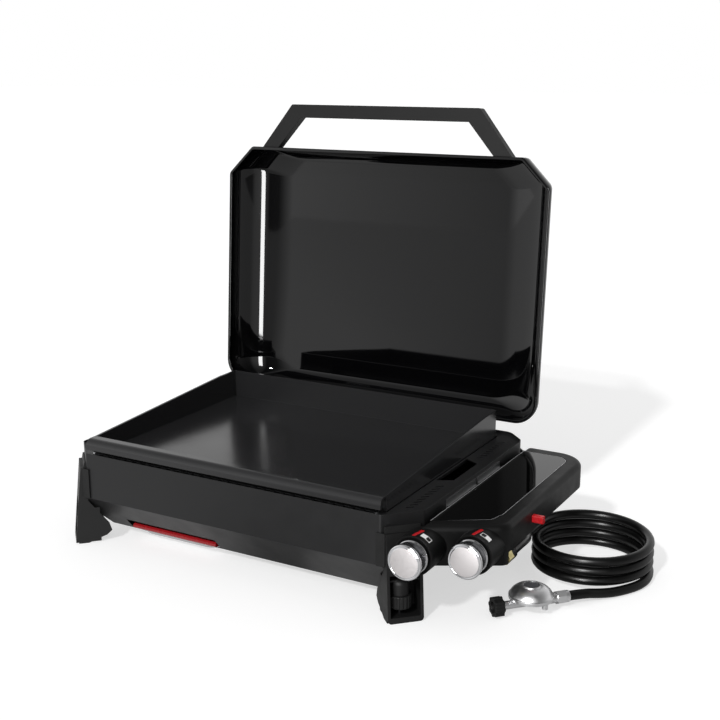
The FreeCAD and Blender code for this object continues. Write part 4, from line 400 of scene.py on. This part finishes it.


# A pale band just inside the glass's edge is a painted highlight, the bright line that the edge
# catches, and a dark seam runs round the glass.
painted_edge_highlight, place = start_finish("painted_edge_highlight")
end_finish(painted_edge_highlight, add(painted_edge_highlight, "ShaderNodeBsdfPrincipled", {
    "Base Color": linear("#b4b4b6"), "IOR": 1.52, "Roughness": spread(painted_edge_highlight, place, 5, 0.3, 0.4),
    "Normal": grain(painted_edge_highlight, place, 1.0, 0.005)}))
dark_seam, place = start_finish("dark_seam")
end_finish(dark_seam, add(dark_seam, "ShaderNodeBsdfPrincipled", {
    "Base Color": linear("#030303"), "Specular IOR Level": 0.1,
    "Roughness": spread(dark_seam, place, 5, 0.7, 0.8),
    "Normal": grain(dark_seam, place, 1.0, 0.005)}))
for name, outer, inner, level, finish in (("glass_painted_highlight", -0.15, -0.95, 154.85, painted_edge_highlight),
                                          ("glass_seam", 1.3, -0.05, 155.04, dark_seam)):
    loops = [[Vector((x, y, level)) / 1000 + frame_move for x, y in glass_loop(grow)]
             for grow in (outer, inner)]
    count = len(loops[0])
    band_mesh = bpy.data.meshes.new(name)
    band_mesh.from_pydata(loops[0] + loops[1], [], [
        (spot, (spot + 1) % count, count + (spot + 1) % count, count + spot) for spot in range(count)])
    band_mesh.materials.append(finish)
    band = stand(name, band_mesh)
    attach(band, "station")


# Knobs: die-cast zinc, plated. The front rim and the rear ring are polished, the round face between
# is bead-blasted to a pale satin, and the barrel behind it is a darker brushed band.

def spin(name, profile, spot, turns, finishes):
    """A turned piece about an axis that points to the front: rings of (radius, y, finish number) in mm."""
    points, faces, kinds = [], [], []
    for radius, depth, kind in profile:
        for step in range(turns):
            angle = 2 * math.pi * step / turns
            points.append(Vector((spot[0] + radius * math.cos(angle), depth,
                                  spot[1] + radius * math.sin(angle))) / 1000)
    for ring in range(len(profile) - 1):
        for step in range(turns):
            after = (step + 1) % turns
            faces.append((ring * turns + step, ring * turns + after, (ring + 1) * turns + after,
                          (ring + 1) * turns + step))
            kinds.append(profile[ring + 1][2])
    mesh = bpy.data.meshes.new(name)
    mesh.from_pydata(points, [], faces)
    for finish in finishes:
        mesh.materials.append(finish)
    for face, kind in zip(mesh.polygons, kinds):
        face.material_index = kind
        face.use_smooth = True
    return stand(name, mesh)


polished_zinc, place = start_finish("polished_zinc")
end_finish(polished_zinc, add(polished_zinc, "ShaderNodeBsdfPrincipled", {
    "Base Color": linear("#e2e2e4"), "Metallic": 1.0,
    "Roughness": spread(polished_zinc, place, 6, 0.05, 0.1),
    "Normal": grain(polished_zinc, place, 5.0, 0.004)}))
blasted_zinc, place = start_finish("blasted_zinc")
end_finish(blasted_zinc, add(blasted_zinc, "ShaderNodeBsdfPrincipled", {
    "Base Color": linear("#dcd8d8"), "Metallic": 1.0,
    "Roughness": spread(blasted_zinc, place, 3, 0.42, 0.5),
    "Normal": grain(blasted_zinc, place, 1.2, 0.05)}))
brushed_band, place = start_finish("brushed_band")
end_finish(brushed_band, add(brushed_band, "ShaderNodeBsdfPrincipled", {
    "Base Color": linear("#77777a"), "Metallic": 1.0,
    "Roughness": spread(brushed_band, place, 2, 0.2, 0.34),
    "Normal": grain(brushed_band, place, 1.2, 0.01)}))

knobs, knob_level = (("left", 351.0, 0.0), ("right", 426.0, 46.0)), 120.0
for side, knob_x, knob_back in knobs:
    turned = [(0.01, -40.5, 0), (22.6, -40.5, 0), (23.0, -40.4, 1), (23.4, -39.9, 1), (24.0, -39.75, 1),
              (24.6, -40.0, 1), (25.3, -40.3, 1), (26.2, -40.2, 1), (27.0, -39.7, 1), (27.45, -38.9, 1),
              (27.5, -36.4, 1), (27.2, -35.5, 1), (26.6, -35.1, 1), (24.7, -34.9, 1), (24.5, -34.7, 2),
              (24.5, -17.4, 2), (24.9, -16.6, 1), (25.6, -16.1, 1), (26.0, -15.4, 1), (26.0, -13.2, 1),
              (25.6, -12.4, 1), (24.8, -12.0, 1), (4.2, -12.0, 2)]
    knob = spin("knob_%s_turned" % side,
                [(radius, depth + knob_back, kind) for radius, depth, kind in turned],
                (knob_x, knob_level), 96, (blasted_zinc, polished_zinc, brushed_band))
    knob.data.transform(Matrix.Translation(frame_move))
    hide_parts("knob_" + side, "knob_cap_" + side)
    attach(knob, "knob_" + side)


# Marks on the pods: a red moulded pip that shows where the knob points, and a printed white box,
# half filled, that shows which side of the plate the knob heats.

pod_radius, sunk, bend_step = 31.0, 0.2, 1.5


def wrap(name, patches, spot, thick, finish):
    """Patches of (first angle, last angle, front y, rear y) in degrees and mm, bent round a pod and sunk
    a little into it."""
    points, faces = [], []
    for first, last, front, rear in patches:
        count = max(2, int(abs(last - first) / bend_step))
        base = len(points)
        for step in range(count + 1):
            angle = math.radians(first + (last - first) * step / count)
            for reach, depth in ((pod_radius - sunk, front), (pod_radius + thick, front),
                                 (pod_radius + thick, rear), (pod_radius - sunk, rear)):
                points.append(Vector((spot[0] + reach * math.sin(angle), depth,
                                      spot[1] + reach * math.cos(angle))) / 1000 + frame_move)
        for step in range(count):
            low, high = base + 4 * step, base + 4 * step + 4
            for side in range(4):
                following = (side + 1) % 4
                faces.append((low + side, low + following, high + following, high + side))
        end = base + 4 * count
        faces.append((base + 3, base + 2, base + 1, base))
        faces.append((end, end + 1, end + 2, end + 3))
    mesh = bpy.data.meshes.new(name)
    mesh.from_pydata(points, [], faces)
    mesh.materials.append(finish)
    piece = stand(name, mesh)
    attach(piece, "station")
    return piece


print_white, place = start_finish("printed_white")
end_finish(print_white, add(print_white, "ShaderNodeBsdfPrincipled", {
    "Base Color": linear("#f4f4f4"), "Roughness": spread(print_white, place, 3, 0.45, 0.55), "IOR": 1.5,
    "Normal": grain(print_white, place, 1.0, 0.01)}))
for side, knob_x, knob_back in knobs:
    spot = (knob_x, knob_level)
    # The pip leans as it comes forward, so it is laid as six short steps.
    pip = wrap("pod_pip_" + side, [
        (-0.6 - 1.3 * step, 9.4 - 1.3 * step, 12.0 - 4.0 * step + knob_back, 16.2 - 4.0 * step + knob_back)
        for step in range(6)], spot, 0.5, red_abs)
    front, rear = -2.5 + knob_back, 8.0 + knob_back
    start, middle, end, line, bar = 13.0, 29.0, 45.0, 1.8, 1.0
    box = [(start, start + line, front, rear), (end - line, end, front, rear),
           (start, end, front, front + bar), (start, end, rear - bar, rear), (28.2, 29.8, front, rear),
           ((start, middle, front, rear) if side == "left" else (middle, end, front, rear))]
    mark = wrap("pod_print_" + side, box, spot, 0.06, print_white)


# Gas hose: 15 mm extruded rubber with a smooth satin cover, from the brass nut under the console
# down to the ground, round in a stack of flat turns and out along the ground to the regulator.

hose_rubber, place = start_finish("hose_rubber")
end_finish(hose_rubber, add(hose_rubber, "ShaderNodeBsdfPrincipled", {
    "Base Color": linear("#090909"), "IOR": 1.5, "Specular IOR Level": 0.36,
    "Roughness": spread(hose_rubber, place, 14, 0.27, 0.34),
    "Normal": grain(hose_rubber, place, 4.0, 0.005)}))

# The hose's end is gripped by a ribbed rubber sleeve, moulded over the crimp behind the brass nut.
ribs = [(radius, 108.8 + 1.95 * rib + run, 0) for rib in range(7)
        for radius, run in ((10.3, 0.0), (10.3, 1.2), (9.7, 1.45), (9.7, 1.7))]
ribs = [(9.25, 108.7, 0), *ribs, (9.25, 122.6, 0)]
sleeve = spin("hose_sleeve", ribs, (452.0, 98.0), 48, (hose_rubber,))
sleeve.data.transform(Matrix.Translation(frame_move))
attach(sleeve, "station")

coil_centre = Vector((513.4, 329.5, 65.9))
coil_radius, coil_pitch, coil_turn, per_turn = 93.3, 16.2, 1240.0, 24


def along_coil(turned):
    """A point of the coil, in mm, after it has turned clockwise from its start at the left."""
    angle = math.radians(180.0 - turned)
    return coil_centre + Vector((coil_radius * math.cos(angle), coil_radius * math.sin(angle),
                                 -coil_pitch * turned / 360.0))


riser = [(452.0, 122.5, 98.0), (452.0, 154.5, 98.0), (449.0, 188.0, 93.5), (440.0, 218.0, 84.0),
         (428.0, 246.0, 74.0), (420.7, 276.0, 67.4), (420.2, 304.0, 66.6)]
steps = per_turn * coil_turn // 360
turns = [along_coil(coil_turn * step / steps) for step in range(int(steps) + 1)]
tail = [(607.0, 343.3, 9.6), (610.0, 319.5, 8.7), (606.2, 296.0, 8.2), (596.0, 274.0, 8.1),
        (577.5, 245.5, 8.6), (559.5, 223.0, 12.0), (545.5, 204.3, 17.0), (525.2, 182.2, 17.0)]
hose_line = bpy.data.curves.new("gas_hose", "CURVE")
hose_line.dimensions = "3D"
hose_line.bevel_depth = 0.0077
hose_line.bevel_resolution = 6
hose_line.resolution_u = 6
hose_line.use_fill_caps = True
spline = hose_line.splines.new("NURBS")
route = [Vector(point) / 1000 + frame_move for point in [*riser, *turns, *tail]]
spline.points.add(len(route) - 1)
for point, spot in zip(spline.points, route):
    point.co = (*spot, 1.0)
spline.order_u = 3
spline.use_endpoint_u = True
hose_line.materials.append(hose_rubber)
hose = stand("gas_hose", hose_line)
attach(hose, "station")
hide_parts("hose_riser", "hose_coil", "hose_tail")


# Regulator: a die-cast zinc body with a tumbled, half-polished skin, a grey plastic cap sunk in
# its crown, a plated hose nut and a lobed plastic hand wheel on its spigot.

cast_zinc, place = start_finish("cast_zinc")
soft_edge = add(cast_zinc, "ShaderNodeBevel", {"Radius": 0.0008}, samples=4).outputs["Normal"]
end_finish(cast_zinc, add(cast_zinc, "ShaderNodeBsdfPrincipled", {
    "Base Color": linear("#f4f4f5"), "Metallic": 1.0, "Roughness": spread(cast_zinc, place, 8, 0.30, 0.40),
    "Normal": grain(cast_zinc, place, 3.0, 0.02, soft_edge)}))
dress(cast_zinc, "regulator_body", "regulator_nut")
grey_cap, place = start_finish("grey_cap")
end_finish(grey_cap, add(grey_cap, "ShaderNodeBsdfPrincipled", {
    "Base Color": linear("#4c4d50"), "IOR": 1.5, "Roughness": spread(grey_cap, place, 6, 0.34, 0.44),
    "Normal": grain(grey_cap, place, 1.5, 0.02)}))
dress(grey_cap, "regulator_cap")


# Studio: a white sweep that stays white to the eye while it keeps the shadow, and that glows in
# reflections by heading, a painted reflection of pale card behind and at the left and dark in front;
# one key light high in front, a soft sky of plain white, and the camera of the photograph.

floor_mesh = bpy.data.meshes.new("studio_floor")
floor_mesh.from_pydata([(-30, -30, 0), (30, -30, 0), (30, 30, 0), (-30, 30, 0)], [], [(0, 1, 2, 3)])
floor = stand("studio_floor", floor_mesh)


def room_light(finish, spot):
    """How bright the studio is in a mirror, by heading: pale card behind and at the left, dark in front."""
    spread_out = add(finish, "ShaderNodeSeparateXYZ", {0: spot})
    heading = add(finish, "ShaderNodeMath", {
        0: spread_out.outputs["X"], 1: add(finish, "ShaderNodeMath", {0: spread_out.outputs["Y"], 1: -1.0},
                                           operation="MULTIPLY").outputs[0]}, operation="ARCTAN2")
    share = add(finish, "ShaderNodeMapRange", {
        0: heading.outputs[0], 1: -math.pi, 2: math.pi, 3: 0.0, 4: 1.0})
    card = add(finish, "ShaderNodeValToRGB", {0: share.outputs[0]})
    stops = [(-180, 0.83), (-100, 0.83), (-48, 0.96), (-36, 0.92), (-29, 0.66), (-22, 0.44),
             (-15, 0.22), (-9, 0.08), (8, 0.06), (12, 0.30), (17, 0.5), (28, 0.62), (40, 0.45),
             (48, 0.12), (60, 0.1), (85, 0.16), (120, 0.5), (180, 0.83)]
    while len(card.color_ramp.elements) < len(stops):
        card.color_ramp.elements.new(0.5)
    for stop, (angle, level) in zip(card.color_ramp.elements, stops):
        stop.position = (angle + 180) / 360
        stop.color = (level, level, level, 1.0)
    return add(finish, "ShaderNodeMath", {0: card.outputs[0], 1: 1.2}, operation="MULTIPLY").outputs[0]


white_sweep, place = start_finish("white_sweep")
seen = add(white_sweep, "ShaderNodeLightPath", {})
paper = add(white_sweep, "ShaderNodeBsdfDiffuse", {"Color": linear("#dcdcdc")})
lit_paper = add(white_sweep, "ShaderNodeBsdfDiffuse", {"Color": (0.55, 0.55, 0.55, 1.0)})
glow = add(white_sweep, "ShaderNodeEmission", {"Color": (1, 1, 1, 1), "Strength": 0.6})
around = add(white_sweep, "ShaderNodeNewGeometry", {}).outputs["Position"]
# In reflections the floor glows by heading: a painted reflection, pale behind and at the left, dark in
# front.
painted_reflection_glow = add(white_sweep, "ShaderNodeEmission", {
    "Color": (1, 1, 1, 1), "Strength": room_light(white_sweep, around)})
to_camera = add(white_sweep, "ShaderNodeAddShader", {0: lit_paper.outputs[0], 1: glow.outputs[0]})
in_mirror = add(white_sweep, "ShaderNodeMixShader", {0: 0.45, 1: paper.outputs[0], 2: painted_reflection_glow.outputs[0]})
plain = add(white_sweep, "ShaderNodeMixShader", {0: seen.outputs["Is Glossy Ray"], 1: paper.outputs[0],
                                                 2: in_mirror.outputs[0]})
end_finish(white_sweep, add(white_sweep, "ShaderNodeMixShader", {
    0: seen.outputs["Is Camera Ray"], 1: plain.outputs[0], 2: to_camera.outputs[0]}))
floor_mesh.materials.append(white_sweep)

world = bpy.data.worlds.new("studio")
bpy.context.scene.world = world
world.use_nodes = True
world.node_tree.nodes.clear()
seen = add(world, "ShaderNodeLightPath", {})
sky = add(world, "ShaderNodeTexCoord", {}).outputs["Generated"]
height = add(world, "ShaderNodeMapRange", {
    "Value": add(world, "ShaderNodeSeparateXYZ", {0: sky}).outputs["Z"],
    "From Min": 0.2, "From Max": 0.85, "To Min": 1.0, "To Max": 0.28})
card = add(world, "ShaderNodeMath", {0: room_light(world, sky), 1: height.outputs["Result"]},
           operation="MULTIPLY")
to_eye = add(world, "ShaderNodeBackground", {"Color": (1, 1, 1, 1), "Strength": 1.0})
to_gloss = add(world, "ShaderNodeBackground", {"Color": (1, 1, 1, 1), "Strength": card.outputs[0]})
to_matt = add(world, "ShaderNodeBackground", {"Color": (1, 1, 1, 1), "Strength": 0.5})
soft = add(world, "ShaderNodeMixShader", {0: seen.outputs["Is Glossy Ray"], 1: to_matt.outputs[0],
                                          2: to_gloss.outputs[0]})
whole = add(world, "ShaderNodeMixShader", {0: seen.outputs["Is Camera Ray"], 1: soft.outputs[0],
                                           2: to_eye.outputs[0]})
add(world, "ShaderNodeOutputWorld", {"Surface": whole.outputs[0]})

key = stand("key_light", bpy.data.lights.new("key_light", "SUN"))
key.data.energy = 1.7
key.data.angle = math.radians(3.5)
key.rotation_euler = Vector((0.02, 0.814, -0.588)).to_track_quat("-Z", "Y").to_euler()

strip = stand("strip_light", bpy.data.lights.new("strip_light", "AREA"))
strip.data.shape = "RECTANGLE"
strip.data.size = 0.34
strip.data.size_y = 1.6
strip.data.energy = 36.0
strip.location = (0.50, -1.98, 0.8)
strip.rotation_euler = (Vector((-0.38, 0.25, 0.8)) - strip.location).to_track_quat("-Z", "Y").to_euler()
strip.visible_camera = False
strip.visible_diffuse = False

camera = stand("camera", bpy.data.cameras.new("camera"))
camera.data.lens = 58.53
camera.data.sensor_width = 36.0
camera.location = (1.00728, -1.71783, 0.8232)
camera.rotation_euler = (math.radians(75.74), 0.0, math.radians(29.49))
bpy.context.scene.camera = camera
bpy.context.scene.view_settings.view_transform = "Standard"
